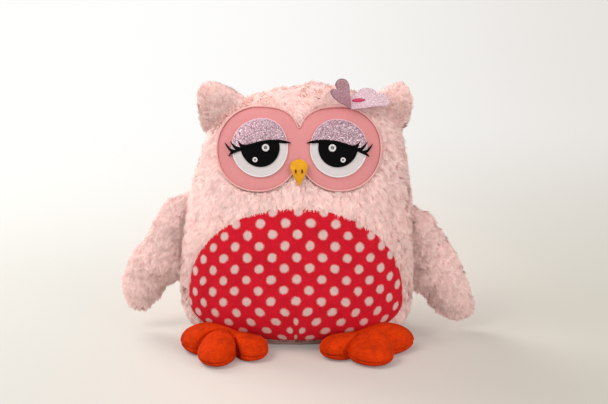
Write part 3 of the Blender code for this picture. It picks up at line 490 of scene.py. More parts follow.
def newMaterial(name, roughness, sheen=0.0, sheenTint=(1, 1, 1), specular=0.3):
    material = bpy.data.materials.new(name)
    material.use_nodes = True
    tree = material.node_tree
    shader = tree.nodes["Principled BSDF"].inputs
    shader["Roughness"].default_value = roughness
    shader["Specular IOR Level"].default_value = specular
    shader["Sheen Weight"].default_value = sheen
    shader["Sheen Roughness"].default_value = 0.45
    shader["Sheen Tint"].default_value = (*sheenTint, 1)
    return material, tree, shader


def bumped(tree, shader, height, distance, strength=0.6):
    bump = newNode(tree, "ShaderNodeBump", {"Distance": distance, "Strength": strength, "Height": height})
    feed(tree, shader["Normal"], bump.outputs[0])


def napMaterial(look):
    material, tree, shader = newMaterial(look["name"], look["roughness"], look["sheen"], look["sheenTint"],
                                         look.get("shine", 0.3))
    nap = groupIn(tree, napGroup, Colour=look["colour"], Mottle=look["mottle"],
                  Patch_Scale=look["patchScale"],
                  Fibre_Scale=look["fibreScale"])
    feed(tree, shader["Base Color"], nap["Colour"])
    bumped(tree, shader, nap["Height"], look["fibreDepth"], look["bump"])
    return material


def threadMaterial(look):
    material, tree, shader = newMaterial(look["name"], look["roughness"], 0.0, look["colour"],
                                         look.get("shine", 0.25))
    rows = groupIn(tree, stitchGroup, Colour=look["colour"], Pitch=look["pitch"], Depth=look["depth"])
    colour = rows["Colour"]
    if "upper" in look:   # beside the lid the thread takes the lid's colour
        colour = mixColour(tree, attributeAt(tree, "lidShare"), colour, look["upper"])
    feed(tree, shader["Base Color"], colour)
    bumped(tree, shader, rows["Height"], look["pitch"] * 0.4, look["bump"])
    return material


def glitterMaterial(look):
    material, tree, shader = newMaterial(look["name"], 0.35, specular=0.6)
    flakes = groupIn(tree, glitterGroup, Dark=look["dark"], Middle=look["middle"], Light=look["light"],
                     Scale=look["scale"], Tilt=look["tilt"])
    colour = flakes["Colour"]
    if "edge" in look:   # a band of the edge colour along the cut edge
        rim = ramp(tree, attributeAt(tree, "edgeShare"), 0.93, 0.97, 0.0, 0.75)
        colour = mixColour(tree, rim, colour, look["edge"])
    feed(tree, shader["Base Color"], colour)
    feed(tree, shader["Roughness"], flakes["Roughness"])
    feed(tree, shader["Metallic"], flakes["Metal"])
    feed(tree, shader["Normal"], flakes["Normal"])
    return material


napLooks = {
    "rose": {"name": "roseVelour", "colour": (0.70, 0.27, 0.275), "roughness": 0.85, "sheen": 0.1,
             "sheenTint": (1.0, 0.8, 0.8), "mottle": 0.10, "patchScale": 45.0, "fibreScale": 1400.0,
             "fibreDepth": 0.0003, "bump": 0.35},
    "edging": {"name": "roseEdging", "colour": (0.80, 0.43, 0.41), "roughness": 0.7, "sheen": 0.1,
               "sheenTint": (1.0, 0.9, 0.9), "mottle": 0.10, "patchScale": 120.0, "fibreScale": 1800.0,
               "fibreDepth": 0.0002, "bump": 0.3},
    "grey": {"name": "greyFelt", "colour": (0.66, 0.61, 0.62), "roughness": 0.95, "sheen": 0.1,
             "sheenTint": (1.0, 1.0, 1.0), "mottle": 0.08, "patchScale": 90.0, "fibreScale": 1300.0,
             "fibreDepth": 0.0003, "bump": 0.4},
    "yellow": {"name": "yellowFelt", "colour": (0.74, 0.34, 0.012), "roughness": 0.9, "sheen": 0.1,
               "sheenTint": (1.0, 0.8, 0.4), "mottle": 0.3, "patchScale": 160.0, "fibreScale": 1200.0,
               "fibreDepth": 0.0004, "bump": 0.5},
    "orange": {"name": "orangeVelour", "colour": (0.60, 0.036, 0.0014), "roughness": 0.95, "sheen": 0.0,
               "sheenTint": (1.0, 0.35, 0.1), "mottle": 0.5, "patchScale": 70.0, "fibreScale": 560.0,
               "fibreDepth": 0.0015, "bump": 1.0, "shine": 0.08},
    "skin": {"name": "furBacking", "colour": (0.90, 0.64, 0.60), "roughness": 0.95, "sheen": 0.0,
             "sheenTint": (1.0, 1.0, 1.0), "mottle": 0.15, "patchScale": 90.0, "fibreScale": 700.0,
             "fibreDepth": 0.0006, "bump": 0.5},
}
threadLooks = {
    "rim": {"name": "rimSatin", "colour": (0.86, 0.83, 0.84), "upper": (0.86, 0.57, 0.65), "roughness": 0.5,
            "pitch": 0.0007, "depth": 0.12, "bump": 0.4},
    "heart": {"name": "greySatin", "colour": (0.36, 0.34, 0.35), "roughness": 0.5, "pitch": 0.0006,
              "depth": 0.3, "bump": 0.4},
    "white": {"name": "whiteSatin", "colour": (0.84, 0.80, 0.81), "roughness": 0.45, "pitch": 0.0007,
              "depth": 0.12, "bump": 0.4},
    "black": {"name": "blackThread", "colour": (0.003, 0.0026, 0.003), "shine": 0.05, "roughness": 0.7,
              "pitch": 0.0008, "depth": 0.4, "bump": 0.4},
    "brown": {"name": "brownThread", "colour": (0.09, 0.015, 0.012), "roughness": 0.5, "pitch": 0.0005,
              "depth": 0.3, "bump": 0.5},
    "magenta": {"name": "magentaThread", "colour": (0.72, 0.06, 0.17), "roughness": 0.42, "pitch": 0.0007,
                "depth": 0.3, "bump": 0.6},
    "pupil": {"name": "pupilThread", "colour": (0.0032, 0.0028, 0.0032), "shine": 0.05, "roughness": 0.7,
              "pitch": 0.0011, "depth": 0.5, "bump": 0.4},
}
glitterLooks = {
    "lid": {"name": "lilacGlitter", "dark": (0.20, 0.09, 0.13), "middle": (0.50, 0.30, 0.365),
            "light": (0.97, 0.84, 0.90), "scale": 1500.0, "tilt": 0.9},
    # the raised wing is a darker copy of the pink glitter: painted shade on the wing that stands up
    "raised": {"name": "duskyGlitter", "edge": (0.10, 0.08, 0.09), "dark": (0.34, 0.13, 0.18),
               "middle": (0.50, 0.22, 0.28), "light": (0.88, 0.62, 0.70), "scale": 1700.0, "tilt": 0.7},
    "flat": {"name": "pinkGlitter", "edge": (0.62, 0.45, 0.52), "dark": (0.66, 0.38, 0.46),
             "middle": (0.84, 0.56, 0.64), "light": (1.0, 0.93, 0.97), "scale": 1500.0, "tilt": 0.6},
}
cloth = {key: napMaterial(look) for key, look in napLooks.items()}
thread = {key: threadMaterial(look) for key, look in threadLooks.items()}
glitter = {key: glitterMaterial(look) for key, look in glitterLooks.items()}
print("materials ready:", len(cloth) + len(thread) + len(glitter))

# outlines of the applied pieces
patch = {"x": -1.6 * mm, "z": 42 * mm, "halfWidth": 108.5 * mm, "rise": 100.5 * mm, "drop": 36 * mm,
         "upperPower": 2.15, "lowerPower": 2.3, "low": -5.8 * mm, "high": -1.8 * mm, "soft": 0.7 * mm,
         "seam": 0.8 * mm, "seamWidth": 1.3 * mm, "seamBelow": 80 * mm, "seamEnd": 10 * mm}
face = {"x": 1.8 * mm, "z": 196 * mm, "lobe": 41.5 * mm, "spacing": 39.5 * mm, "waist": 21 * mm,
        "corners": {"upperInner": 2.9, "lowerInner": 2.0, "lowerOuter": 2.2, "upperOuter": 1.96},
        "low": -5.8 * mm, "high": -3.4 * mm, "gap": 0.35 * mm, "edging": 0.75 * mm, "cheek": 1.6 * mm,
        "cheekAt": 200, "cheekSpread": 26, "edgingSteps": 420, "edgingRibs": 150}


def patchLoop(count):
    turn = fullTurn(count)
    upper = np.sin(turn) > 0
    power = 2 / np.where(upper, patch["upperPower"], patch["lowerPower"])
    tall = np.where(upper, patch["rise"], patch["drop"])
    return np.column_stack([patch["halfWidth"] * signedPower(np.cos(turn), power),
                            tall * signedPower(np.sin(turn), power)])


def lobeQuarter(corner, across, upward, count):
    turn = np.linspace(0, math.pi / 2, count)
    power = 2 / face["corners"][corner]
    return np.column_stack([across * face["lobe"] * np.cos(turn) ** power,
                            upward * face["lobe"] * np.sin(turn) ** power])


def maskLoop(count):
    # one lobe from the notch over the top and round to the beak, then the other
    quarters = [lobeQuarter("upperInner", -1, 1, count), lobeQuarter("upperOuter", 1, 1, count)[::-1],
                lobeQuarter("lowerOuter", 1, -1, count), lobeQuarter("lowerInner", -1, -1, count)[::-1]]
    lobe = np.vstack([part[:-1] for part in quarters]) + np.array((face["spacing"], 0))
    lobe = lobe[lobe[:, 0] > 0.2 * mm]
    if lobe[-1, 1] > -face["waist"]:
        lobe = np.vstack([lobe, [(0.5 * mm, -face["waist"])]])
    loop = np.vstack([lobe, (lobe * np.array((-1, 1)))[::-1]])
    turn = np.degrees(np.arctan2(loop[:, 1], loop[:, 0])) % 360
    swell = face["cheek"] * bell(turn - face["cheekAt"], face["cheekSpread"])
    return loop * (1 + swell / np.linalg.norm(loop, axis=1))[:, None]


patchPlace = faceFrame(patch["x"], patch["z"])
maskPlace = faceFrame(face["x"], face["z"])
patchRim = patchLoop(360)
maskRim = evenly(maskLoop(240)[::-1], 480, smooth=False)


def edgeDistance(points, loop):
    # how far points lie outside a loop, and the way out of it
    best, way = np.full(len(points), 9.0), np.zeros((len(points), 2))
    for a, b in zip(loop, np.roll(loop, -1, 0)):
        run = b - a
        t = np.clip((points - a) @ run / (run @ run), 0, 1)
        off = points - (a + t[:, None] * run)
        gap = np.linalg.norm(off, axis=1)
        nearer = gap < best
        best[nearer], way[nearer] = gap[nearer], off[nearer]
    x, y = points.T
    crossings = np.zeros(len(points), int)
    for (ax, ay), (bx, by) in zip(loop, np.roll(loop, -1, 0)):
        hit = (ay > y) != (by > y)
        if hit.any():
            crossings += hit & (x < (bx - ax) * (y - ay) / (by - ay + 1e-12) + ax)
    inside = crossings % 2 == 1
    way = way / np.maximum(np.linalg.norm(way, axis=1), 1e-9)[:, None]
    return np.where(inside, -best, best), np.where(inside[:, None], -way, way)


# fur: locks of strands set on a backing and combed
fur = {
    "pile": 8.4 * mm, "strandWidth": 0.5 * mm, "lockRadius": 1.25 * mm, "strands": 8, "locks": 6,
    "leanRoot": 32, "leanTip": 68, "leanStray": (12, 9), "gather": 0.5, "bend": 0.25, "waveSize": 15 * mm,
    "wave": 1.4, "curlSize": 5 * mm, "curl": 2.2, "standSize": 7 * mm, "stand": 0.5, "shortest": 0.75,
    # root is darker than tip: painted shade deep in the pile, as the strands cast no shadow
    "longest": 1.15, "roundness": 0.6, "twist": 0.6, "root": (0.79, 0.495, 0.46), "tip": (0.90, 0.675, 0.64),
    "cream": (0.93, 0.785, 0.75),
}


def furMaterial():
    material, tree, shader = newMaterial("pinkFur", 0.8, 0.12, (1.0, 0.9, 0.87), 0.1)
    share, tint = attributeAt(tree, "furShare"), attributeAt(tree, "furTint")
    spot = objectSpot(tree)
    # the strands run from the darker root colour to the paler tip: painted shade deep in the pile
    colour = mixColour(tree, ramp(tree, share, 0.0, 0.75), fur["root"], fur["tip"])
    colour = mixColour(tree, ramp(tree, tint, 0.55, 1.0, 0.0, 0.7), colour, fur["cream"])
    # tone in broad patches, times finer patches about 5 mm across that are painted shade of the curls
    patchesAndCurlShade = times(tree, noiseRamp(tree, spot, 30, 3, 0.35, 0.7, 0.94, 1.03),
                   noiseRamp(tree, spot, 190, 2, 0.3, 0.65, 0.90, 1.04))
    bright = times(tree, patchesAndCurlShade, ramp(tree, tint, 0, 1, 0.93, 1.02))
    feed(tree, shader["Base Color"], vectorNode(tree, "SCALE", colour, scale=bright))
    return material


def makeLocks():
    shelf = bpy.data.collections.new("furLocks")
    rng = np.random.default_rng(7)
    for number in range(fur["locks"]):
        work = bmesh.new()
        height = work.verts.layers.float.new("furShare")
        side = work.verts.layers.float.new("furSide")
        for strand in range(fur["strands"]):
            turn, reach = rng.uniform(0, 2 * math.pi), fur["lockRadius"] * math.sqrt(rng.uniform(0, 1))
            root = Vector((reach * math.cos(turn), reach * math.sin(turn), 0))
            length = fur["pile"] * rng.uniform(0.85, 1.12)
            twist = rng.uniform(-fur["twist"], fur["twist"])
            width = fur["strandWidth"] * rng.uniform(0.8, 1.2)
            lean = [math.radians(angle + rng.uniform(-stray, stray))
                    for angle, stray in zip((fur["leanRoot"], fur["leanTip"]), fur["leanStray"])]
            bend = rng.uniform(-fur["bend"], fur["bend"])
            gather = -root.y * fur["gather"] / 2 / (length / 2)
            spots = [root]
            for step in range(2):
                aside = bend * (step - 0.5) + gather
                way = Vector((math.sin(lean[step]), aside, math.cos(lean[step]))).normalized()
                spots.append(spots[-1] + way * length / 2)
            aside = Vector((0.25 * math.sin(twist), math.cos(twist), math.sin(twist) * 0.6))
            aside = aside.normalized() * width / 2
            first = [work.verts.new(spots[0] - aside), work.verts.new(spots[0] + aside)]
            edge = work.edges.new(first)
            grown = bmesh.ops.extrude_edge_only(work, edges=[edge])["geom"]
            second = [v for v in grown if isinstance(v, bmesh.types.BMVert)]
            second.sort(key=lambda v: (v.co - first[0].co).length)
            second[0].co = spots[1] - aside * 0.9
            second[1].co = spots[1] + aside * 0.9
            tip = work.verts.new(spots[2])
            work.faces.new((second[0], second[1], tip))
            for verts, up, edgeSides in ((first, 0.0, (-1, 1)), (second, 0.5, (-1, 1)), ([tip], 1.0, (0,))):
                for vert, edgeSide in zip(verts, edgeSides):
                    vert[height], vert[side] = up, edgeSide
        work.normal_update()
        for item in work.faces:
            if item.normal.z < 0:
                item.normal_flip()
        name = "furLock%d" % number
        shelf.objects.link(bpy.data.objects.new(name, keepMesh(name, work)))
    return shelf


def growTree(shelf):
    tree = bpy.data.node_groups.new("growFur", "GeometryNodeTree")
    inputs = {"Geometry": "Geometry", "Density": "Float", "Seed": "Int", "Height": "Float"}
    for word, kind in inputs.items():
        tree.interface.new_socket(word, in_out="INPUT", socket_type="NodeSocket" + kind)
    tree.interface.new_socket("Geometry", in_out="OUTPUT", socket_type="NodeSocketGeometry")
    given = newNode(tree, "NodeGroupInput").outputs

    def named(word, kind="FLOAT"):
        node = newNode(tree, "GeometryNodeInputNamedAttribute", {"Name": word}, data_type=kind)
        return node.outputs["Attribute"]

    def store(geometry, word, kind, value, domain):
        node = newNode(tree, "GeometryNodeStoreNamedAttribute", {"Name": word, "Geometry": geometry},
                       data_type=kind, domain=domain)
        feed(tree, node.inputs["Value"], value)
        return node.outputs[0]

    def chance(kind, low, high, seed):
        place, out = {"FLOAT": (2, 1), "INT": (4, 2)}[kind]
        feeds = {place: low, place + 1: high, "Seed": seed}
        return newNode(tree, "FunctionNodeRandomValue", feeds, data_type=kind).outputs[out]

    spread = newNode(tree, "GeometryNodeDistributePointsOnFaces",
                     {"Mesh": given["Geometry"], "Density": given["Density"], "Seed": given["Seed"]}).outputs
    bare = newNode(tree, "FunctionNodeCompare", data_type="FLOAT", operation="LESS_THAN")
    feed(tree, bare.inputs[0], named("edgeGap"))
    feed(tree, bare.inputs[1], 0.0)
    kept = newNode(tree, "GeometryNodeDeleteGeometry",
                   {"Geometry": spread["Points"], "Selection": bare.outputs[0]},
                   domain="POINT").outputs[0]
    spot = newNode(tree, "GeometryNodeInputPosition").outputs[0]

    def swirl(size, amount, shift):
        colour = noiseAt(tree, vectorNode(tree, "ADD", spot, shift), 1 / size, 1.5, 0.5, "Color")
        return vectorNode(tree, "SCALE", vectorNode(tree, "SUBTRACT", colour, (0.5, 0.5, 0.5)),
                          scale=amount * 2)
    nap = vectorNode(tree, "ADD", named("nap", "FLOAT_VECTOR"),
                     swirl(fur["waveSize"], fur["wave"], (0, 0, 0)))
    nap = vectorNode(tree, "ADD", nap, swirl(fur["curlSize"], fur["curl"], (3, 1, 2)))
    stand = vectorNode(tree, "ADD", spread["Normal"], swirl(fur["standSize"], fur["stand"], (5, 4, 1)))
    aim = newNode(tree, "FunctionNodeAxesToRotation", {0: stand, 1: nap}, primary_axis="Z",
                  secondary_axis="X")
    size = times(tree, given["Height"], chance("FLOAT", fur["shortest"], fur["longest"], 3))
    size = times(tree, named("pileShare"), size)
    locks = newNode(tree, "GeometryNodeCollectionInfo",
                    {"Collection": shelf, "Separate Children": True, "Reset Children": True})
    place = newNode(tree, "GeometryNodeInstanceOnPoints", {
        "Points": store(kept, "skinNormal", "FLOAT_VECTOR", spread["Normal"], "POINT"),
        "Instance": locks.outputs[0], "Pick Instance": True,
        "Instance Index": chance("INT", 0, fur["locks"] - 1, 9), "Rotation": aim.outputs[0], "Scale": size})
    tinted = store(place.outputs[0], "furTint", "FLOAT", chance("FLOAT", 0.0, 1.0, 5), "INSTANCE")
    real = newNode(tree, "GeometryNodeRealizeInstances", {0: tinted})
    newNode(tree, "NodeGroupOutput", {0: real.outputs[0]})
    return tree


furCover = furMaterial()
lockShelf = makeLocks()
furTree = growTree(lockShelf)
density = 400000


def growFur(name, skin, body, replaced, share, seed, keep=None, floor=None):
    # strands on the backing's outside, as one mesh with normals that follow the backing
    base = skin.data.copy()
    if keep is not None:
        gap = readFloats(base.attributes["edgeGap"].data, "value", len(base.vertices))
        setFloats(base, "edgeGap", np.minimum(gap, keep))
    ground = hangObject(name + "Ground", base)
    grow = ground.modifiers.new("grow", "NODES")
    grow.node_group = furTree
    sockets = {s.name: s.identifier for s in furTree.interface.items_tree if s.in_out == "INPUT"}
    grow[sockets["Density"]] = density * share
    grow[sockets["Seed"]] = seed
    grow[sockets["Height"]] = 1.0
    bpy.context.view_layer.update()
    mesh = bpy.data.meshes.new_from_object(ground.evaluated_get(bpy.context.evaluated_depsgraph_get()))
    bpy.data.objects.remove(ground)
    mesh.name = name
    count = len(mesh.vertices)
    if floor is not None:
        co = readFloats(mesh.vertices, "co", count * 3).reshape(-1, 3)
        co[:, 2] = np.maximum(co[:, 2], floor)
        mesh.vertices.foreach_set("co", co.ravel())
    mesh.update()
    normal = readFloats(mesh.attributes["skinNormal"].data, "vector", count * 3).reshape(-1, 3)
    flat = readFloats(mesh.vertex_normals, "vector", count * 3).reshape(-1, 3)
    flat *= np.where((normal * flat).sum(1) < 0, -1, 1)[:, None]
    mixed = normal * fur["roundness"] + flat * (1 - fur["roundness"])
    mixed /= np.maximum(np.linalg.norm(mixed, axis=1), 1e-6)[:, None]
    tint, up, side = (readFloats(mesh.attributes[word].data, "value", count)
                      for word in ("furTint", "furShare", "furSide"))
    corner = np.zeros(len(mesh.loops), np.int32)
    mesh.loops.foreach_get("vertex_index", corner)
    strip = mesh.uv_layers.new(name="OFBake")
    u = np.clip(0.02 + 0.96 * tint + 0.012 * side, 0, 1)
    v = 0.02 + 0.96 * up
    strip.data.foreach_set("uv", np.column_stack([u[corner], v[corner]]).astype(np.float32).ravel())
    for word in ("skinNormal", "furSide", "nap", "edgeGap", "pileShare"):
        if word in mesh.attributes:
            mesh.attributes.remove(mesh.attributes[word])
    piece = hangPiece(name, mesh, furCover, body, replaced)
    mesh.normals_split_custom_set_from_vertices(mixed)
    piece.visible_shadow = False   # thin strands let the light through; the backing casts the shadow
    print(" ", name, len(mesh.polygons), "faces of fur")


# body: backing, then its fur in zones
body = {"across": 208, "down": 132, "lift": -4.8 * mm, "seatLift": -6.7 * mm, "baseRings": 0.07,
        "lumpSize": 55 * mm, "lump": 1.1 * mm, "seamWidth": 3 * mm, "floorClear": 0.4 * mm,
        "crown": 0.9985, "clear": (0.6 * mm, 4 * mm), "sway": (0.35, 45), "crownTurn": (0.20, 0.24),
        "crownComb": (1.0, -0.35, -0.2), "maskComb": 0.1, "lowComb": (4 * mm, 20 * mm), "nearEdge": 7 * mm,
        "nearMask": 0.38, "nearPatch": 0.32, "nearSeam": 0.22, "underside": (3 * mm, 0.6),
        "crownPile": 0.15, "crownShort": (0.222, 0.240), "overPatch": 1.2 * mm}
faraway = 0.2   # further than any edge of a sewn-on piece


def bodyShape(turn, fall):
    # profile from the crown down to the base ring, then in across the flat base
    table = profile[::-1]
    steps = np.hypot(np.diff(table[:, 0] * bodyForm["height"]), np.diff(table[:, 1] * bodyForm["halfWidth"]))
    run = np.r_[0, np.cumsum(steps)]
    run /= run[-1]
    side = np.clip(fall / (1 - body["baseRings"]), 0, 1)
    z = np.interp(side, run, table[:, 0]) * bodyForm["height"]
    wide, front, back, lean = bodySection(z)
    inner = np.clip((1 - fall) / body["baseRings"], 0, 1)
    angle = turn * 2 * math.pi
    power = 2 / bodyForm["power"]
    deep = np.where(np.sin(angle) < 0, front, back)
    x = wide * signedPower(np.cos(angle), power)
    y = deep * signedPower(np.sin(angle), power)
    spots = np.column_stack([lean + x, y, z])
    normals = bodyNormal(*spots.T)
    normals[z > bodyForm["height"] * body["crown"]] = (0, 0, 1)
    patchGap, _ = edgeDistance(patchPlace.local(spots[:, 0], spots[:, 2]), patchRim)
    maskGap, maskWay = edgeDistance(maskPlace.local(spots[:, 0], spots[:, 2]), maskRim)
    patchGap, maskGap = (np.where(spots[:, 1] < 0, gap, faraway) for gap in (patchGap, maskGap))
    bodyShape.found = spots, normals, patchGap, maskGap, maskWay
    clear = ease(np.minimum(patchGap, maskGap), *body["clear"])
    lump = body["lump"] * waves(spots, body["lumpSize"], 3.0)
    skin = spots + normals * (body["seatLift"] + (body["lift"] - body["seatLift"] + lump) * clear)[:, None]
    skin[:, 2] = np.maximum(skin[:, 2], body["floorClear"])
    ring = inner < 1
    skin[ring, :2] *= inner[ring, None]
    skin[ring, 2] = body["floorClear"]
    return skin


def napAlong(normals, way):
    # the combed way, laid in the surface
    nap = np.array(way, float) - normals * (normals * way).sum(1)[:, None]
    return nap / np.maximum(np.linalg.norm(nap, axis=1), 1e-6)[:, None]


skinWork = drawnBall(body["across"], body["down"], bodyShape)
bodySkin = keepPiece("bodySkin", skinWork, cloth["skin"], "body", ["body_filling", "base_panel"])
base, out, patchGap, maskGap, maskWay = bodyShape.found
down = np.tile(np.array([[0.0, 0.0, -1.0]]), (len(base), 1))
down[:, 0] += body["sway"][0] * np.sin(base[:, 2] * body["sway"][1]) * np.sign(base[:, 0])
crownTurn = ease(base[:, 2], *body["crownTurn"])[:, None]
down = down * (1 - crownTurn) + crownTurn * np.array(body["crownComb"])
combed = napAlong(out, down)
aside = np.column_stack([maskWay[:, 0], np.zeros(len(base)), maskWay[:, 1]])
nearMask = (1 - ease(maskGap, 1 * mm, 8 * mm))[:, None] * body["maskComb"]
combed = napAlong(out, combed * (1 - nearMask) + aside * nearMask * 1.3)
lowDown = (1 - ease(base[:, 2], *body["lowComb"]))[:, None]
outward = np.column_stack([base[:, 0] * 8, base[:, 1] * 8, np.zeros(len(base))])
combed = napAlong(out, combed * (1 - lowDown) + outward * lowDown + 1e-6)
pile = (1 - body["nearMask"] * (1 - ease(maskGap, 0, body["nearEdge"]))
        - body["nearPatch"] * (1 - ease(patchGap, 0, body["nearEdge"])))
backSeam = np.where(base[:, 1] > 0, np.abs(base[:, 0] - bodySection(base[:, 2])[3]), faraway)
seamGap = np.minimum(np.abs(base[:, 1]), backSeam)
pile *= 1 - body["nearSeam"] * (1 - ease(seamGap, 0, body["seamWidth"]))
pile *= np.where(base[:, 2] < body["underside"][0], body["underside"][1], 1)
pile *= 1 - body["crownPile"] * ease(base[:, 2], *body["crownShort"])
setFloats(bodySkin.data, "edgeGap", np.minimum(patchGap - body["overPatch"], maskGap))
setFloats(bodySkin.data, "pileShare", pile)
setFloats(bodySkin.data, "nap", combed, "FLOAT_VECTOR")
sideways, deep, high = placesOf(bodySkin.data.vertices).T
upright = np.where(high > 0.6 * mm, 1.0, -1.0)
low, belt, part = 95 * mm, 160 * mm, 5 * mm   # the fur's zones meet at these heights
zones = {
    "furHeadLeft": ((-deep, high - belt, sideways - part), 1.3, ["front_cover"]),
    "furHeadRight": ((-deep, high - belt, part - sideways), 1.3, ["front_cover"]),
    "furChest": ((-deep, belt - high, high - low), 1.25, ["front_cover"]),
    "furFlanks": ((-deep, low - high), 1.2, ["front_cover"]),
    "furNapeLeft": ((deep, sideways - part, high - belt), 1.0, ["back_cover_left"]),
    "furNapeRight": ((deep, part - sideways, high - belt), 1.0, ["back_cover_right"]),
    "furBackLeft": ((deep, sideways - part, belt - high), 0.75, ["back_cover_left"]),
    "furBackRight": ((deep, part - sideways, belt - high), 0.75, ["back_cover_right"]),
}
for number, (name, (limits, share, nodes)) in enumerate(zones.items()):
    zone = np.minimum(np.min(limits, axis=0), upright)
    growFur(name, bodySkin, "body", nodes, share, 11 + number, zone, 0.2 * mm)
print("body furred")

# belly: printed fleece
dots = {"pitchAcross": 23.9 * mm, "pitchUp": 21.4 * mm, "x": 0.5 * mm, "z": 37.3 * mm, "radius": 4.15 * mm,
        "skew": 0.03, "seam": 4 * mm, "soft": 1.2 * mm, "sag": 1.02, "gatherBelow": -13 * mm, "gather": 0.3,
        "start": 60 * mm, "wander": 2.8 * mm, "ragged": 2.2 * mm, "red": (0.64, 0.010, 0.027),
        "deepRed": (0.47, 0.006, 0.016), "pale": (0.68, 0.48, 0.45), "liftFrom": 45 * mm, "lift": 1.9}


def arcRun(place, start, end, steps=24):
    # length along the cloth from start to end, one value for each point
    total, last = 0.0, place(0.0)
    for step in range(1, steps + 1):
        spot = place(step / steps)
        total = total + np.linalg.norm((spot - last)[:, start:end], axis=1)
        last = spot
    return total


def fleeceMaterial():
    material, tree, shader = newMaterial("dottedFleece", 0.9, 0.06, (1.0, 0.25, 0.3), 0.1)
    spot = objectSpot(tree)
    stray = splitUp(tree, "Color", noiseAt(tree, spot, 70, 2, 0.5, "Color"))
    u, v = (plus(tree, attributeAt(tree, word), times(tree, minus(tree, stray[k], 0.5), dots["wander"]))
            for k, word in enumerate(("clothAcross", "clothUp")))

    def lattice(shift):
        # distance from the nearest dot's middle
        squares = []
        for value, pitch in ((u, dots["pitchAcross"]), (v, dots["pitchUp"])):
            cell = plus(tree, mathNode(tree, "DIVIDE", value, pitch), shift + 0.5)
            off = times(tree, minus(tree, mathNode(tree, "FRACT", cell), 0.5), pitch)
            squares.append(times(tree, off, off))
        return mathNode(tree, "SQRT", plus(tree, *squares))
    near = mathNode(tree, "MINIMUM", lattice(0.0), lattice(0.5))
    near = plus(tree, near, times(tree, minus(tree, noiseAt(tree, spot, 700, 2), 0.5), dots["ragged"]))
    dot = ramp(tree, near, dots["radius"] - dots["soft"], dots["radius"] + dots["soft"], 1.0, 0.0)
    red = mixColour(tree, noiseRamp(tree, spot, 60, 3, 0.3, 0.7), dots["deepRed"], dots["red"])
    red = mixColour(tree, 0.5, red, dots["red"])
    nap = groupIn(tree, napGroup, Mottle=0.14, Patch_Scale=220.0, Fibre_Scale=1100.0,
                  Colour=mixColour(tree, dot, red, dots["pale"]))
    feed(tree, shader["Base Color"], nap["Colour"])
    bumped(tree, shader, nap["Height"], 0.0006)
    return material


def patchHigh(out, up, share):
    seam = bell(out, patch["seamWidth"]) * patch["seam"] * ease(-up, -patch["seamBelow"], patch["seamEnd"])
    soft = np.array([noise.noise(Vector((a, b, 0.3)) * 38) for a, b in zip(out, up)]) * patch["soft"]
    return patch["high"] + soft - seam


patchWork = drawnBall(240, 140, padShape(patchRim, patchPlace, level(patch["low"]), patchHigh,
                                         (0, (patch["rise"] - patch["drop"]) / 3), 14))
bellyPatch = keepPiece("bellyPatch", patchWork, fleeceMaterial(), "body", ["belly_patch"])
spots = placesOf(bellyPatch.data.vertices)
px, pz = spots[:, 0], spots[:, 2]
for _ in range(6):   # the place on the body that each point of the cloth lies over
    over = frontPoint(px, pz, patch["high"])
    px, pz = px + spots[:, 0] - over[:, 0], pz + spots[:, 2] - over[:, 2]
offX, offZ = px - patch["x"], pz - dots["start"]
alongX = arcRun(lambda t: frontPoint(patch["x"] + offX * t, pz, patch["high"]), 0, 2) * np.sign(offX)
alongZ = arcRun(lambda t: frontPoint(px, dots["start"] + offZ * t, patch["high"]), 1, 3) * np.sign(offZ)
gathered = np.tanh(alongX / dots["seam"]) * dots["gather"] * np.clip(dots["gatherBelow"] - alongZ, 0, None)
setFloats(bellyPatch.data, "clothAcross",
          alongX + gathered - dots["x"] - dots["skew"] * np.clip(alongZ, 0, None))
lifted = dots["lift"] * np.clip(alongX - dots["liftFrom"], 0, None) ** 2   # the print rises towards one side
setFloats(bellyPatch.data, "clothUp", alongZ + dots["sag"] * alongX ** 2 - lifted - dots["z"])
print("belly patch laid")

# face
eye = {"spacing": 38.2 * mm, "rise": 0.1 * mm, "radius": 27.3 * mm, "thickness": 1 * mm, "rim": 0.7 * mm,
       "bulge": {"left": 1.6 * mm, "right": 2.8 * mm}, "bulgeAt": 122, "bulgeSpread": 36,
       "pupil": 19.3 * mm, "pupilRise": 1.2 * mm, "pupilOut": -0.9 * mm, "pupilThickness": 0.7 * mm,
       "lid": 0.8 * mm, "lidDome": 0.5 * mm, "line": 1.1 * mm, "lineEdge": 0.16 * mm, "glintLift": 0.6 * mm,
       "droop": {"left": -0.04, "right": -0.03}, "stretch": {"left": 1.0, "right": 1.05},
       "glints": {"Large": {"at": (-0.246, 0.02), "path": 2.6 * mm, "tube": 0.95 * mm, "heart": 1.3 * mm,
                            "ribs": 22},
                  "Small": {"at": (0.13, -0.414), "path": 1.7 * mm, "tube": 0.75 * mm, "heart": 0.6 * mm,
                            "ribs": 15}}}
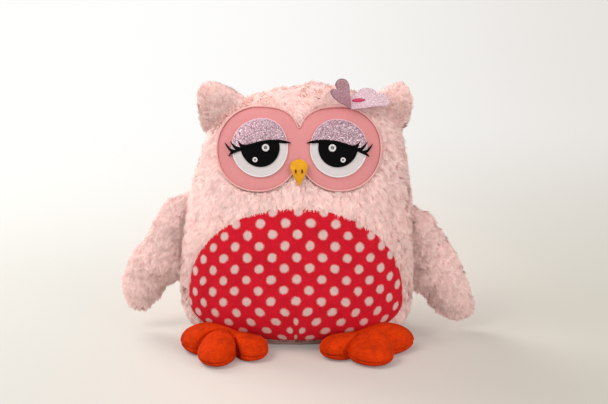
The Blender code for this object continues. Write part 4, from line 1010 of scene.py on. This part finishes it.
# runs of the lid line as shares of the eye, each smooth between its two sharp ends
lidTop = [(-1.14, 0.235), (-0.93, 0.29), (-0.70, 0.322), (-0.35, 0.312), (-0.01, 0.252), (0.28, 0.16),
          (0.47, 0.11)]
lidUnder = [(0.657, -0.105), (0.50, -0.03), (0.30, 0.03), (0.00, 0.13), (-0.35, 0.20), (-0.70, 0.215),
            (-0.93, 0.20), (-1.14, 0.215)]
lidOuter = [(0.64, 0.03), (0.80, -0.03), (0.93, 0.04), (1.08, 0.16)]
lashRuns = [[(0.47, 0.11), (0.58, 0.13), (0.68, 0.20), (0.755, 0.293)],
            [(0.755, 0.293), (0.73, 0.18), (0.69, 0.09), (0.65, 0.012)],
            [(0.65, 0.012), (0.77, 0.04), (0.91, 0.13), (1.013, 0.234)],
            [(1.013, 0.234), (0.96, 0.10), (0.89, 0.00), (0.82, -0.088)],
            [(0.82, -0.088), (0.96, -0.06), (1.11, 0.04), (1.236, 0.168)],
            [(1.236, 0.168), (1.17, 0.02), (1.08, -0.09), (0.98, -0.168)],
            [(0.98, -0.168), (1.04, -0.23), (1.107, -0.312)],
            [(1.107, -0.312), (0.96, -0.25), (0.80, -0.17), (0.657, -0.105)]]
eyeTop = face["high"] + face["gap"] + eye["thickness"]
rimLift = face["high"] + face["gap"] + eye["rim"]


def lineLow(out, up):
    reach = np.hypot(out, up)
    onEye = eyeTop + face["gap"]
    onRim = rimLift + eye["rim"] + face["gap"]
    onMask = face["high"] + face["gap"]
    climb = np.clip((reach - eye["radius"] + 4 * eye["rim"]) / (2 * eye["rim"]), 0, 1)
    fall = np.clip((reach - eye["radius"] - 2 * eye["rim"]) / (4 * eye["rim"]), 0, 1)
    return (onEye + (onRim - onEye) * climb) * (1 - fall) + onMask * fall


def lidHigh(out, up, share):
    return eyeTop + face["gap"] + eye["lid"] + eye["lidDome"] * (1 - share ** 2)


def eyeLoop(sideName, count, inset=0.0):
    # the eye's round, fuller on the upper side by the beak
    turn = fullTurn(count)
    bulge = eye["bulge"][sideName] * bell(np.degrees(turn) - eye["bulgeAt"], eye["bulgeSpread"])
    return (eye["radius"] - inset + bulge)[:, None] * np.column_stack([np.cos(turn), np.sin(turn)])


def drooped(run, sideName):
    run = np.array(run, float)
    outer = np.clip(run[:, 0] - 0.2, 0, None)
    run[:, 1] += eye["droop"][sideName] * outer
    run[:, 0] += (eye["stretch"][sideName] - 1) * outer
    return run * eye["radius"]


def clippedRound(ring, edge, above, shift):
    # a round that the lid line cuts off
    ordered = edge[np.argsort(edge[:, 0])]
    limit = np.interp(ring[:, 0], ordered[:, 0], ordered[:, 1]) + shift
    kept = ring[:, 1] > limit if above else ring[:, 1] < limit
    first = int(np.flatnonzero(kept & ~np.roll(kept, 1))[0])
    arc = np.roll(ring, -first, 0)[: kept.sum()]
    across = np.linspace(arc[-1, 0], arc[0, 0], 200)[1:-1]
    chord = np.column_stack([across, np.interp(across, ordered[:, 0], ordered[:, 1]) + shift])
    return evenly(np.vstack([arc, chord]), 400, smooth=False)


maskWork = drawnBall(256, 84, padShape(maskRim, maskPlace, level(face["low"]), level(face["high"]), crown=12))
faceMask = keepPiece("faceMask", maskWork, cloth["rose"], "body", ["face_mask"])
edgePath = maskRim - loopNormals(maskRim) * face["edging"]
edgeWork = threadRound(edgePath, maskPlace, face["high"] + 0.75 * face["edging"], face["edging"],
                       face["edgingSteps"], face["edgingRibs"], 0.12)
keepPiece("maskEdging", edgeWork, cloth["edging"], "body", ["mask_edging"])

for sideName, side in sides.items():
    place = faceFrame(face["x"] + side * eye["spacing"], face["z"] + eye["rise"], side)
    tag = sideName.capitalize()
    work = drawnBall(96, 44, padShape(eyeLoop(sideName, 96, 0.15 * mm), place,
                                      level(face["high"] + face["gap"]), level(eyeTop), crown=20))
    keepPiece("eyeWhite" + tag, work, cloth["grey"], "body", ["eye_white_" + sideName])
    work = threadRound(eyeLoop(sideName, 288), place, rimLift, eye["rim"], 288, 144, 0.25)
    rim = keepPiece("eyeRim" + tag, work, thread["rim"], "body", ["eye_rim_" + sideName])
    co = placesOf(rim.data.vertices)
    rimUp = place.local(co[:, 0], co[:, 2])
    setFloats(rim.data, "lidShare", ease(rimUp[:, 1], 3 * mm, 7 * mm))
    onEye = eyeTop + face["gap"]
    topRun = drooped(lidTop + lidOuter, sideName)
    lidLoop = clippedRound(eyeLoop(sideName, 1440, 0.5 * mm), topRun, True, -0.4 * mm)
    work = drawnBall(128, 48, padShape(lidLoop, place, level(onEye), lidHigh,
                                       (-0.05 * eye["radius"], 0.6 * eye["radius"]), 12))
    keepPiece("eyelid" + tag, work, glitter["lid"], "body", ["eyelid_" + sideName])
    pupilRing = circleLoop(eye["pupil"], 1440, eye["pupilRise"]) + np.array((eye["pupilOut"], 0))
    pupilLoop = clippedRound(pupilRing, topRun, False, -1.2 * mm)
    work = drawnBall(128, 48, padShape(pupilLoop, place, level(onEye), level(onEye + eye["pupilThickness"]),
                                       (0, -0.2 * eye["radius"]), 12))
    keepPiece("pupil" + tag, work, thread["pupil"], "body", ["pupil_" + sideName])
    runs = [lidTop] + lashRuns + [lidUnder]
    outline = [evenly(drooped(run, sideName), max(6, len(run) * 6), closed=False)[:-1] for run in runs]
    outline = np.vstack(outline + [drooped(lidUnder[-1:], sideName)])
    work = cutShape(outline, place, lineLow, eye["line"], eye["lineEdge"])
    keepPiece("lidLine" + tag, work, thread["black"], "body", ["lid_line_" + sideName])
    for size, glint in eye["glints"].items():
        spot = np.array(glint["at"]) * eye["radius"]
        lift = onEye + eye["pupilThickness"] + face["gap"] + eye["glintLift"]
        work = threadRound(circleLoop(glint["path"], 96) + spot, place, lift, glint["tube"], 96,
                           glint["ribs"], 0.3)
        keepPiece("glint" + size + tag, work, thread["white"], "body",
                  ["eye_glint_" + size.lower() + "_" + sideName])
        work = drawnBall(24, 12, padShape(circleLoop(glint["heart"], 48) + spot, place, level(onEye),
                                          level(lift - 0.1 * mm), spot, 6))
        keepPiece("glintHeart" + size + tag, work, thread["heart"], "body", ())
print("eyes sewn")

beak = {"halfWidth": 8.6 * mm, "length": 26.8 * mm, "topDrop": 9.6 * mm, "thickness": 3.3 * mm,
        "ramp": 6 * mm,
        "widest": 0.28, "taper": 1.35, "edge": 0.5, "nostrilOut": 3.0 * mm, "nostrilDrop": 5.0 * mm,
        "nostril": (0.8 * mm, 2.0 * mm), "nostrilThickness": 0.8 * mm}


def beakLoop(count):
    turn = fullTurn(count)
    widest = -beak["topDrop"] - beak["length"] * beak["widest"]
    across, up, fall = np.cos(turn), np.sin(turn), -np.sin(turn)
    narrowed = np.sign(across) * (1 - np.clip(fall, 0, 1) ** beak["taper"])
    out = beak["halfWidth"] * np.where(fall > 0, narrowed, across)
    tip = -beak["topDrop"] - beak["length"]
    return np.column_stack([out, np.where(up >= 0, widest + beak["length"] * beak["widest"] * up,
                                          widest + (tip - widest) * fall)]), widest, tip


def beakLow(out, up, share):
    climb = np.clip((-face["waist"] + 2 * face["edging"] + beak["ramp"] - up) / beak["ramp"], 0, 1)
    onMask = face["high"] + face["gap"]
    return onMask + (face["gap"] - onMask) * climb


def beakHigh(out, up, share):
    dome = beak["edge"] + (1 - beak["edge"]) * domed(share)
    return beakLow(out, up, share) + beak["thickness"] * dome


beakRim, beakWidest, beakTip = beakLoop(160)
work = drawnBall(96, 60, padShape(beakRim, maskPlace, beakLow, beakHigh, (0, beakWidest), 6))
keepPiece("beak", work, cloth["yellow"], "body", ["beak"])
for sideName, side in sides.items():
    spot = np.array((side * beak["nostrilOut"], beakWidest - beak["nostrilDrop"]))
    loop = circleLoop(1, 48) * np.array(beak["nostril"]) + spot

    def onBeak(out, up, share):
        reach = np.hypot(out / beak["halfWidth"], (up - beakWidest) / (beakTip - beakWidest))
        return beakHigh(out, up, np.clip(reach, 0, 1)) - 0.1 * mm

    def nostrilHigh(out, up, share):
        return onBeak(out, up, share) + beak["nostrilThickness"]
    work = drawnBall(24, 12, padShape(loop, maskPlace, onBeak, nostrilHigh, spot, 4))
    keepPiece("nostril" + sideName.capitalize(), work, thread["brown"], "body", ["nostril_" + sideName])
print("beak sewn")


# wings and ears: flat bags of fur with a seam round their edge
def drawnIn(loop, wall, centre):
    run = np.roll(loop, -1, 0) - np.roll(loop, 1, 0)
    off = loop - centre
    clear = np.abs(off[:, 0] * run[:, 1] - off[:, 1] * run[:, 0]) / np.linalg.norm(run, axis=1)
    return centre + off * (1 - wall / np.maximum(clear, wall * 1.5))[:, None]


# a negative shrink cuts the cover a little full
coverCloth = {"quality": 6, "mass": 0.05, "tension_stiffness": 4, "compression_stiffness": 4,
              "shear_stiffness": 2,
              "bending_stiffness": 0.02, "shrink_min": -0.04, "use_pressure": True,
              "uniform_pressure_force": 20.0, "vertex_group_mass": "sewn"}
swellFrames = 20


def swollen(shape, across, down, cap, sewn):
    # the cover as cloth under the pressure of its filling: how far it moves, over turn and fall
    ball = {}

    def noted(turn, fall):
        ball["turn"], ball["fall"] = turn, fall
        return shape(turn, fall)
    work = drawnBall(across, down, noted)
    cover = hangObject("cover", keepMesh("cover", work))
    start = placesOf(cover.data.vertices)
    pins = cover.vertex_groups.new(name="sewn")
    pins.add([int(index) for index in np.flatnonzero(sewn(start))], 1.0, "REPLACE")
    press = cover.modifiers.new("filling", "CLOTH")
    for word, value in coverCloth.items():
        setattr(press.settings, word, value)
    press.settings.effector_weights.gravity = 0
    press.point_cache.frame_start = 1
    press.point_cache.frame_end = swellFrames
    for number in range(1, swellFrames + 1):
        bpy.context.scene.frame_set(number)
    blown = cover.evaluated_get(bpy.context.evaluated_depsgraph_get())
    move = placesOf(blown.data.vertices) - start
    bpy.context.scene.frame_set(1)
    bpy.data.objects.remove(cover)
    far = np.linalg.norm(move, axis=1)
    print("  cloth moved up to %.1f mm, held to %.1f mm" % (far.max() * 1000, cap * 1000))
    move *= (cap * np.tanh(far / cap) / np.maximum(far, 1e-9))[:, None]
    row = np.rint(ball["fall"] * down).astype(int)
    column = np.rint(ball["turn"] * across).astype(int) % across
    grid = np.zeros((down + 1, across, 3))
    grid[row, column] = move
    grid[0], grid[down] = move[row == 0][0], move[row == down][0]

    def moved(turn, fall):
        a, b = np.asarray(turn) * across, np.asarray(fall) * down
        column, row = np.floor(a).astype(int), np.minimum(np.floor(b).astype(int), down - 1)
        s, t = (a - column)[:, None], (b - row)[:, None]
        upper = grid[row, column % across] * (1 - s) + grid[row, (column + 1) % across] * s
        lower = grid[row + 1, column % across] * (1 - s) + grid[row + 1, (column + 1) % across] * s
        return upper * (1 - t) + lower * t
    return moved


def furredBag(name, sideName, loop, centre, thick, lift, bodyName, replaced, share, seed, comb, pileShare,
              swell):
    def bagShape(turn, fall):
        reach = np.sin(math.pi * fall)
        rim = onLoop(loop, turn)
        spot = centre + (rim - centre) * reach[:, None]
        half = thick(spot, reach, turn) * np.sign(np.cos(math.pi * fall))
        return np.column_stack([spot[:, 0], -half, spot[:, 1]])
    moved = swollen(bagShape, 80, 44, swell,
                    lambda at: (np.abs(at[:, 1]) < 1 * mm) | (bodyLift(*at.T) < 3 * mm))
    work = drawnBall(112, 64, lambda turn, fall: bagShape(turn, fall) + moved(turn, fall))
    skin = keepPiece(name + "Skin" + sideName.capitalize(), work, cloth["skin"], bodyName, [replaced[0]])
    mesh = skin.data
    spots = placesOf(mesh.vertices)
    normals = np.array([v.normal for v in mesh.vertices])
    setFloats(mesh, "edgeGap", bodyLift(*spots.T) + lift)
    setFloats(mesh, "pileShare", pileShare * (1 - 0.15 * (1 - ease(np.abs(spots[:, 1]), 0, 2 * mm))))
    setFloats(mesh, "nap", napAlong(normals, comb(spots)), "FLOAT_VECTOR")
    return growFur(name + "Fur" + sideName.capitalize(), skin, bodyName, replaced[1:], share, seed)


wing = {"top": 130 * mm, "reach": 63 * mm, "tipHeight": 15 * mm, "halfThickness": 13.6 * mm, "wall": 4.3 * mm,
        "hang": {"left": 6 * mm, "right": -2 * mm}, "centre": (0.42, 0.56), "power": 2.2, "rootSwell": 0.45,
        "fold": 1.6 * mm, "swell": 2.6 * mm,
        "edge": {"right": [(-0.16, 1.13), (-0.02, 1.12), (0.133, 1.09), (0.337, 1.03), (0.45, 0.935),
                           (0.50, 0.832), (0.615, 0.706), (0.809, 0.556), (0.923, 0.392), (0.970, 0.252),
                           (0.90, 0.098), (0.779, 0.020), (0.593, 0.005), (0.381, 0.088), (0.276, 0.165),
                           (0.200, 0.225), (0.086, 0.262), (-0.02, 0.30), (-0.16, 0.35)],
                 "left": [(-0.16, 1.08), (-0.02, 1.065), (0.107, 1.035), (0.269, 0.99), (0.396, 0.90),
                          (0.539, 0.79), (0.65, 0.68), (0.766, 0.567), (0.86, 0.439), (0.952, 0.307),
                          (1.021, 0.175), (1.02, 0.09), (0.94, 0.02), (0.767, -0.015), (0.60, 0.0),
                          (0.455, 0.035), (0.298, 0.105), (0.205, 0.18), (0.053, 0.24), (-0.16, 0.32)]}}


def sideSeam(z, side):
    wide, front, back, lean = bodySection(z)
    return lean + side * (wide + 0.3 * mm)


for number, (sideName, side) in enumerate(sides.items()):
    drop = wing["hang"][sideName]
    tip = wing["tipHeight"] - drop
    tall = wing["top"] - wing["tipHeight"]
    free = evenly([(wing["reach"] * a, tip + tall * b) for a, b in wing["edge"][sideName]], 120, closed=False)
    root = np.linspace(free[-1], free[0], 62)[1:-1]
    flat = np.vstack([free, root])
    rootLine = sideSeam(np.clip(flat[:, 1], free[-1, 1], free[0, 1]), side)
    loop = np.column_stack([rootLine + side * flat[:, 0], flat[:, 1]])
    centreUp = tip + tall * wing["centre"][1]
    centre = np.array((sideSeam(centreUp, side) + side * wing["reach"] * wing["centre"][0], centreUp))
    loop = drawnIn(loop, wing["wall"], centre)
    reach = wing["reach"] * wing["centre"][0]

    def wingThick(spot, share, turn):
        nearRoot = 1 - np.clip(np.abs(spot[:, 0] - sideSeam(spot[:, 1], side)) / reach, 0, 1)
        fold = np.array([noise.noise(Vector((a * 34, b * 60, side * 2.0))) for a, b in spot])
        fold = wing["fold"] * fold * (1 - share ** 3)
        domeShare = np.clip(1 - share ** wing["power"], 0, 1) ** (0.5 + 0.1 * nearRoot)
        body = (wing["halfThickness"] - wing["wall"]) * domeShare
        body *= 1 + wing["rootSwell"] * nearRoot
        return body + fold * np.clip(body / (5 * mm), 0, 1)

    def combWing(spots):
        return np.tile((side * 0.45, 0.0, -1.0), (len(spots), 1))
    nodes = ["wing_filling_" + sideName, "wing_front_" + sideName, "wing_back_" + sideName]
    furredBag("wing", sideName, loop, centre, wingThick, 2 * mm, "wing_" + sideName, nodes, 1.9, 31 + number,
              combWing, 0.66, wing["swell"])
print("wings sewn")

ear = {"out": 82 * mm, "height": 228 * mm, "halfWidth": 26 * mm, "halfHeight": 25 * mm,
       "halfThickness": 11.5 * mm, "headSide": 3 * mm,
       "wall": 4.3 * mm, "power": 2.4, "swell": 1.2 * mm,
       "edge": {"right": [(-1.35, 0.10), (-0.80, 0.48), (-0.30, 0.80), (0.20, 1.02), (0.66, 1.02),
                          (0.95, 0.80), (1.06, 0.30), (1.02, -0.42), (0.82, -1.00), (0.20, -1.30),
                          (-0.90, -0.95)],
                "left": [(-1.35, 0.10), (-0.80, 0.42), (-0.30, 0.76), (0.12, 0.98), (0.48, 0.97),
                         (0.76, 0.68), (0.88, 0.20), (0.83, -0.32), (0.62, -0.85), (0.10, -1.25),
                         (-0.90, -0.95)]}}
for number, (sideName, side) in enumerate(sides.items()):
    centre = np.array((bodySection(ear["height"])[3] + side * ear["out"], ear["height"]))
    shape = evenly(ear["edge"][sideName], 160)
    loop = centre + shape * np.array((side * ear["halfWidth"], ear["halfHeight"]))
    loop = drawnIn(loop, ear["wall"], centre)

    def earThick(spot, share, turn):
        # fullest towards the head, where the seam is covered
        inward = np.clip(0.5 - side * (spot[:, 0] - centre[0]) / (2 * ear["halfWidth"]), 0, 1)
        full = ear["halfThickness"] - ear["wall"] + ear["headSide"] * inward
        return full * np.clip(1 - share ** ear["power"], 0, 1) ** (0.5 - 0.2 * inward)

    def combEar(spots):
        return np.tile((side * 0.5, 0.0, 0.9), (len(spots), 1))
    nodes = ["ear_filling_" + sideName, "ear_front_" + sideName, "ear_back_" + sideName]
    furredBag("ear", sideName, loop, centre, earThick, 3 * mm, "body", nodes, 2.0, 41 + number, combEar, 0.60,
              ear["swell"])
print("ears sewn")

# feet
foot = {"seam": 7 * mm, "rise": 21 * mm, "out": 68 * mm, "forward": 66 * mm, "halfWidth": 45 * mm,
        "reach": 55 * mm,
        "dimpleWidth": 12, "roundPower": 2.35, "solePower": 8, "groove": 1.6 * mm, "press": -2.5 * mm,
        "swell": 1.8 * mm, "middle": 0.20, "middleSpread": 32, "settle": 0.38,
        "settleAt": (51 * mm, -68 * mm), "settleSize": (25 * mm, 17 * mm),
        "right": {"edge": [(-0.40, -0.30), (-0.74, -0.02), (-0.90, 0.26), (-0.83, 0.58), (-0.58, 0.70),
                           (-0.38, 0.62), (-0.27, 0.40), (-0.20, 0.64), (-0.05, 0.90), (0.18, 1.00),
                           (0.43, 0.88), (0.57, 0.62), (0.55, 0.34), (0.73, 0.33), (0.93, 0.12),
                           (1.01, -0.16), (0.82, -0.38), (0.38, -0.42), (-0.02, -0.40)],
                  "notches": [(-0.27, 0.40, 0.36), (0.55, 0.34, 0.42)]},
        "left": {"edge": [(-0.40, -0.30), (-0.84, -0.06), (-1.03, 0.22), (-1.00, 0.46), (-0.82, 0.62),
                          (-0.60, 0.64), (-0.46, 0.56), (-0.36, 0.72), (-0.16, 0.90), (0.10, 0.97),
                          (0.34, 0.90), (0.50, 0.68), (0.52, 0.42), (0.66, 0.32), (0.88, 0.13),
                          (1.01, -0.13), (0.84, -0.37), (0.38, -0.42), (-0.02, -0.40)],
                 "notches": [(-0.46, 0.56, 0.30), (0.52, 0.42, 0.12)]}}
for sideName, side in sides.items():
    centre = np.array((side * foot["out"], -foot["forward"]))
    shape = evenly(foot[sideName]["edge"], 256)
    loop = centre + shape * np.array((side * foot["halfWidth"], -foot["reach"]))
    notches = [(math.atan2(-foot["reach"] * b, side * foot["halfWidth"] * a), deep)
               for a, b, deep in foot[sideName]["notches"]]

    def footShape(turn, fall):
        share = np.sin(math.pi * fall)
        rim = onLoop(loop, turn)
        spot = centre + (rim - centre) * share[:, None]
        angle = np.arctan2(rim[:, 1] - centre[1], rim[:, 0] - centre[0])
        valley = np.zeros(len(turn))
        for notch, deep in notches:
            off = np.degrees(np.mod(angle - notch + math.pi, 2 * math.pi) - math.pi)
            valley += deep * np.exp(-np.abs(off / foot["dimpleWidth"]) ** 1.5)
        # it lies lowest where the belly rests on it
        settleAt = np.array((foot["settleAt"][0], side * foot["settleAt"][1]))
        under = (side * spot - settleAt) / np.array(foot["settleSize"])
        settle = foot["settle"] * np.exp(-(under ** 2).sum(1))
        rise = foot["rise"] * domed(share, foot["roundPower"]) * (1 - settle)
        rise = rise * (1 - valley * share ** 0.9)
        forward = np.mod(np.degrees(angle) + 90 + 180, 360) - 180
        rise = rise * (1 - foot["middle"] * bell(forward, foot["middleSpread"]) * ease(share, 0.1, 0.6))
        sink = (foot["seam"] + 0.5 * mm) * domed(share, foot["solePower"])
        z = foot["seam"] + np.where(np.cos(math.pi * fall) > 0, rise, -sink)
        spots = np.column_stack([spot, z])
        lumps = waves(spots, 16 * mm, side * 4.0) * 0.9 * mm
        spots[:, 2] += np.where(z > foot["seam"] + 2 * mm, lumps * np.clip(rise / (9 * mm), 0, 1), 0)
        spots += moved(turn, fall)
        # pulled in along the seam, flat on the floor, and pressed against the body
        spots[:, :2] -= (rim - centre) / np.linalg.norm(rim - centre, axis=1)[:, None] * (
            foot["groove"] * bell(z - foot["seam"], 0.9 * mm) * ease(share, 0.9, 1.0))[:, None]
        spots[:, 2] = np.maximum(spots[:, 2], 0)
        wall, within = frontWall(spots[:, 0], spots[:, 2])
        spots[:, 1] = np.where(within > 0.02, np.minimum(spots[:, 1], wall - foot["press"]), spots[:, 1])
        return spots

    def sewn(at):
        low = at[:, 2] < foot["seam"] + 0.8 * mm
        return low | (bodyLift(at[:, 0], at[:, 1], np.clip(at[:, 2], 0, None)) < 5 * mm)

    def moved(turn, fall):
        return 0.0
    moved = swollen(footShape, 96, 48, foot["swell"], sewn)
    work = drawnBall(224, 104, footShape)
    nodes = ["foot_upper_" + sideName, "foot_sole_" + sideName, "foot_filling_" + sideName]
    footPiece = keepPiece("foot" + sideName.capitalize(), work, cloth["orange"], "foot_" + sideName, nodes)
print("feet sewn")

# butterfly
butterfly = {"x": 51 * mm, "z": 237 * mm, "thickness": 0.8 * mm, "foldGap": 0.45 * mm, "span": 38 * mm,
             "length": 28 * mm, "lift": 0.1 * mm, "raised": 50, "flat": 15, "stitchAt": 7.6 * mm,
             "stitchLength": 6.2 * mm, "stitchWidth": 2.3 * mm, "stitchThickness": 1.6 * mm,
             "darkDot": 0.7 * mm, "darkDotAt": 5.9 * mm, "ripple": 0.5 * mm,
             # millimetres out from the fold, and along it
             "raisedEdge": [(0, -9.7), (0, 13), (0.6, 19), (3, 21.7), (7.5, 21.9), (14.6, 17.7), (20, 12.5),
                            (23.5, 7), (25.6, 1.5), (24, -1.6), (22.2, -2.4), (26.5, -4.9), (31.2, -9),
                            (32.8, -13.4), (30.3, -16.9), (25.8, -18.3), (17.8, -16.8), (8.8, -13.2)],
             "flatEdge": [(0, -9.8), (0, 4), (1.5, 7), (4.8, 9.5), (8.3, 14), (12, 16.3), (16.4, 16.8),
                          (21, 15.5), (24.3, 12.6), (25.3, 9.4), (28, 10), (32, 9.2), (36, 5.5), (38, 1),
                          (37.5, -3), (35, -6), (31, -7), (22.2, -8), (13, -9.7), (1.9, -10.4)]}
foldBase = frontPoint(butterfly["x"], butterfly["z"], 0)
(foldNormal,) = bodyNormal(*foldBase.T)
foldAxis = np.array((0, -foldNormal[2], foldNormal[1]))
foldAxis /= np.linalg.norm(foldAxis) * (1 if foldAxis[2] > 0 else -1)
foldOut = np.cross(foldAxis, foldNormal)
foldOut /= np.linalg.norm(foldOut) * (1 if foldOut[0] > 0 else -1)
foldStart = foldBase[0] + foldNormal * butterfly["lift"]


def sheetFrame(side, degrees):
    turn = math.radians(degrees)
    along = side * math.cos(turn) * foldOut + math.sin(turn) * foldNormal
    upward = -side * math.sin(turn) * foldOut + math.cos(turn) * foldNormal
    return along, upward


for word, side, curl, bodyName in (("Raised", -1, -6.0 * mm, "butterfly_raised"),
                                   ("Flat", 1, -1.6 * mm, "body")):
    along, upward = sheetFrame(side, butterfly[word.lower()])
    loop = evenly(butterfly[word.lower() + "Edge"], 200) * mm
    loop[:, 0] = np.maximum(loop[:, 0], 0) + butterfly["foldGap"]

    def place(out, up, lift):
        reach = out / butterfly["span"]
        ripple = butterfly["ripple"] * np.sin(reach * 5 + up / butterfly["length"] * 3) * reach
        bend = curl * reach ** 2 + ripple
        return foldStart + np.outer(out, along) + np.outer(up, foldAxis) + np.outer(lift + bend, upward)
    half = butterfly["thickness"] / 2
    shape = padShape(loop, place, level(-half), level(half), (14 * mm, 1 * mm), 24)
    work = drawnBall(160, 56, shape)
    sheet = keepPiece("butterflyWing" + word, work, glitter[word.lower()], bodyName,
                      ["butterfly_wing_" + word.lower()])
    setFloats(sheet.data, "edgeShare", shape.share)
    size = np.ptp(loop, axis=0)
along, upward = sheetFrame(1, butterfly["flat"])
middle = foldStart + along * butterfly["stitchAt"] + upward * (butterfly["thickness"] / 2 + 0.1 * mm)
oval = circleLoop(1, 96) * np.array((butterfly["stitchLength"], butterfly["stitchWidth"]))


def stitchPlace(out, up, lift):
    return middle + np.outer(out, along) + np.outer(up, foldAxis) + np.outer(lift, upward)


def stitchHigh(out, up, share):
    return butterfly["stitchThickness"] * (0.4 + 0.6 * domed(share))


work = drawnBall(96, 24, padShape(oval, stitchPlace, level(0.0), stitchHigh, (0, 0), 6))
keepPiece("butterflyBody", work, thread["magenta"], "body", ["butterfly_body"])
# a small dark dot at the end of the stitch
darkDotSpot = middle + along * butterfly["darkDotAt"] + upward * butterfly["stitchThickness"] * 0.5
darkDot = bmesh.new()
bmesh.ops.create_uvsphere(darkDot, u_segments=16, v_segments=10, radius=butterfly["darkDot"])
bmesh.ops.translate(darkDot, verts=darkDot.verts, vec=darkDotSpot)
keepPiece("butterflyKnot", darkDot, thread["brown"], "body", ())
print("butterfly sewn")

for item in list(lockShelf.objects):
    bpy.data.objects.remove(item)
bpy.data.collections.remove(lockShelf)

# floor, light and camera
# the floor is painted: warm pink in the middle as light bounced from the owl, and darker to the right as
# shade
stage = {"floor": (0.66, 0.575, 0.52), "floorLeft": (0.57, 0.557, 0.515), "floorRightShade": (0.52, 0.495, 0.43),
         "left": (1.0, 1.0, 0.99), "right": (0.80, 0.77, 0.735), "size": 3.0, "wall": 1.1,
         "bend": 0.5, "near": 0.25, "far": 1.3, "mostWhite": 0.965, "leastWhite": 0.15,
         "room": (1.0, 0.99, 0.975, 1), "roomLight": 0.57, "aim": (0, 0, 0.12)}


def stageMaterial():
    material, tree, shader = newMaterial("paleStage", 0.9, 0.0, (1, 1, 1), 0.1)
    x, y, z = (splitUp(tree, "XYZ", objectSpot(tree))[k] for k in range(3))
    # painted bounce light in the middle and painted shade to the right
    middle = mixColour(tree, ramp(tree, x, -0.28, 0.0), stage["floorLeft"], stage["floor"])
    feed(tree, shader["Base Color"], mixColour(tree, ramp(tree, x, 0.0, 0.35), middle, stage["floorRightShade"]))
    # seen directly, the sweep pales with distance; it keeps the shadow and lights the owl as plain paper
    # the paper greys from left to right: painted shade
    paperColour = mixColour(tree, ramp(tree, x, -0.4, 0.9), stage["left"], stage["right"])
    paper = newNode(tree, "ShaderNodeEmission", {"Color": paperColour})
    away = ramp(tree, plus(tree, y, z), stage["near"] - 0.4, stage["far"], stage["leastWhite"],
                stage["mostWhite"])
    ray = newNode(tree, "ShaderNodeLightPath").outputs
    seen = mathNode(tree, "MAXIMUM", ray["Is Glossy Ray"], ray["Is Transmission Ray"])
    seen = mathNode(tree, "MAXIMUM", ray["Is Camera Ray"], seen)
    plain = tree.nodes["Principled BSDF"]
    both = newNode(tree, "ShaderNodeMixShader", {0: times(tree, seen, away)})
    tree.links.new(plain.outputs[0], both.inputs[1])
    tree.links.new(paper.outputs[0], both.inputs[2])
    tree.links.new(both.outputs[0], tree.nodes["Material Output"].inputs["Surface"])
    return material


work = bmesh.new()
bmesh.ops.create_grid(work, x_segments=1, y_segments=60, size=stage["size"])
for vert in work.verts:
    back = vert.co.y - stage["wall"]
    if back > 0:
        turn = min(back / stage["bend"], math.pi / 2)
        vert.co.y = stage["wall"] + stage["bend"] * math.sin(turn)
        vert.co.z = stage["bend"] * (1 - math.cos(turn)) + max(back - stage["bend"] * math.pi / 2, 0) * 2
mesh = keepMesh("stageSweep", work)
mesh.materials.append(stageMaterial())
mesh.shade_smooth()
sweep = hangObject("stageSweep", mesh)
sweep.location = (0, 0, -0.2 * mm)

lamps = {"key": {"at": (-1.20, -0.66, 1.75), "size": 1.1, "power": 21.5, "colour": (1.0, 0.985, 0.96)},
         "fill": {"at": (1.4, -1.3, 0.7), "size": 1.4, "power": 14.5, "colour": (1.0, 0.97, 0.95)},
         "rear": {"at": (-0.9, 1.0, 1.0), "size": 0.9, "power": 20.0, "colour": (1.0, 0.99, 0.97)}}
for name, lamp in lamps.items():
    light = bpy.data.lights.new(name, "AREA")
    light.energy = lamp["power"]
    light.size = lamp["size"]
    light.color = lamp["colour"]
    holder = hangObject(name, light)
    holder.location = lamp["at"]
    holder.rotation_euler = (Vector(stage["aim"]) - Vector(lamp["at"])).to_track_quat("-Z", "Y").to_euler()
world = bpy.data.worlds.new("plainRoom")
world.use_nodes = True
world.node_tree.nodes["Background"].inputs["Color"].default_value = stage["room"]
world.node_tree.nodes["Background"].inputs["Strength"].default_value = stage["roomLight"]
bpy.context.scene.world = world
bpy.context.scene.view_settings.view_transform = "Standard"

shot = {"target": (0.0065, 0.0, 0.1321), "distance": 1.2, "pitch": 13.0, "focal": 1200.0, "width": 608,
        "sensor": 36}
pitch = math.radians(shot["pitch"])
camera = bpy.data.cameras.new("shot")
camera.sensor_width = shot["sensor"]
camera.lens = shot["sensor"] * shot["focal"] / shot["width"]
viewer = hangObject("shot", camera)
viewer.location = Vector(shot["target"]) - shot["distance"] * Vector((0, math.cos(pitch), -math.sin(pitch)))
viewer.rotation_euler = (math.pi / 2 - pitch, 0, 0)
bpy.context.scene.camera = viewer
print("stage, lamps and camera set")
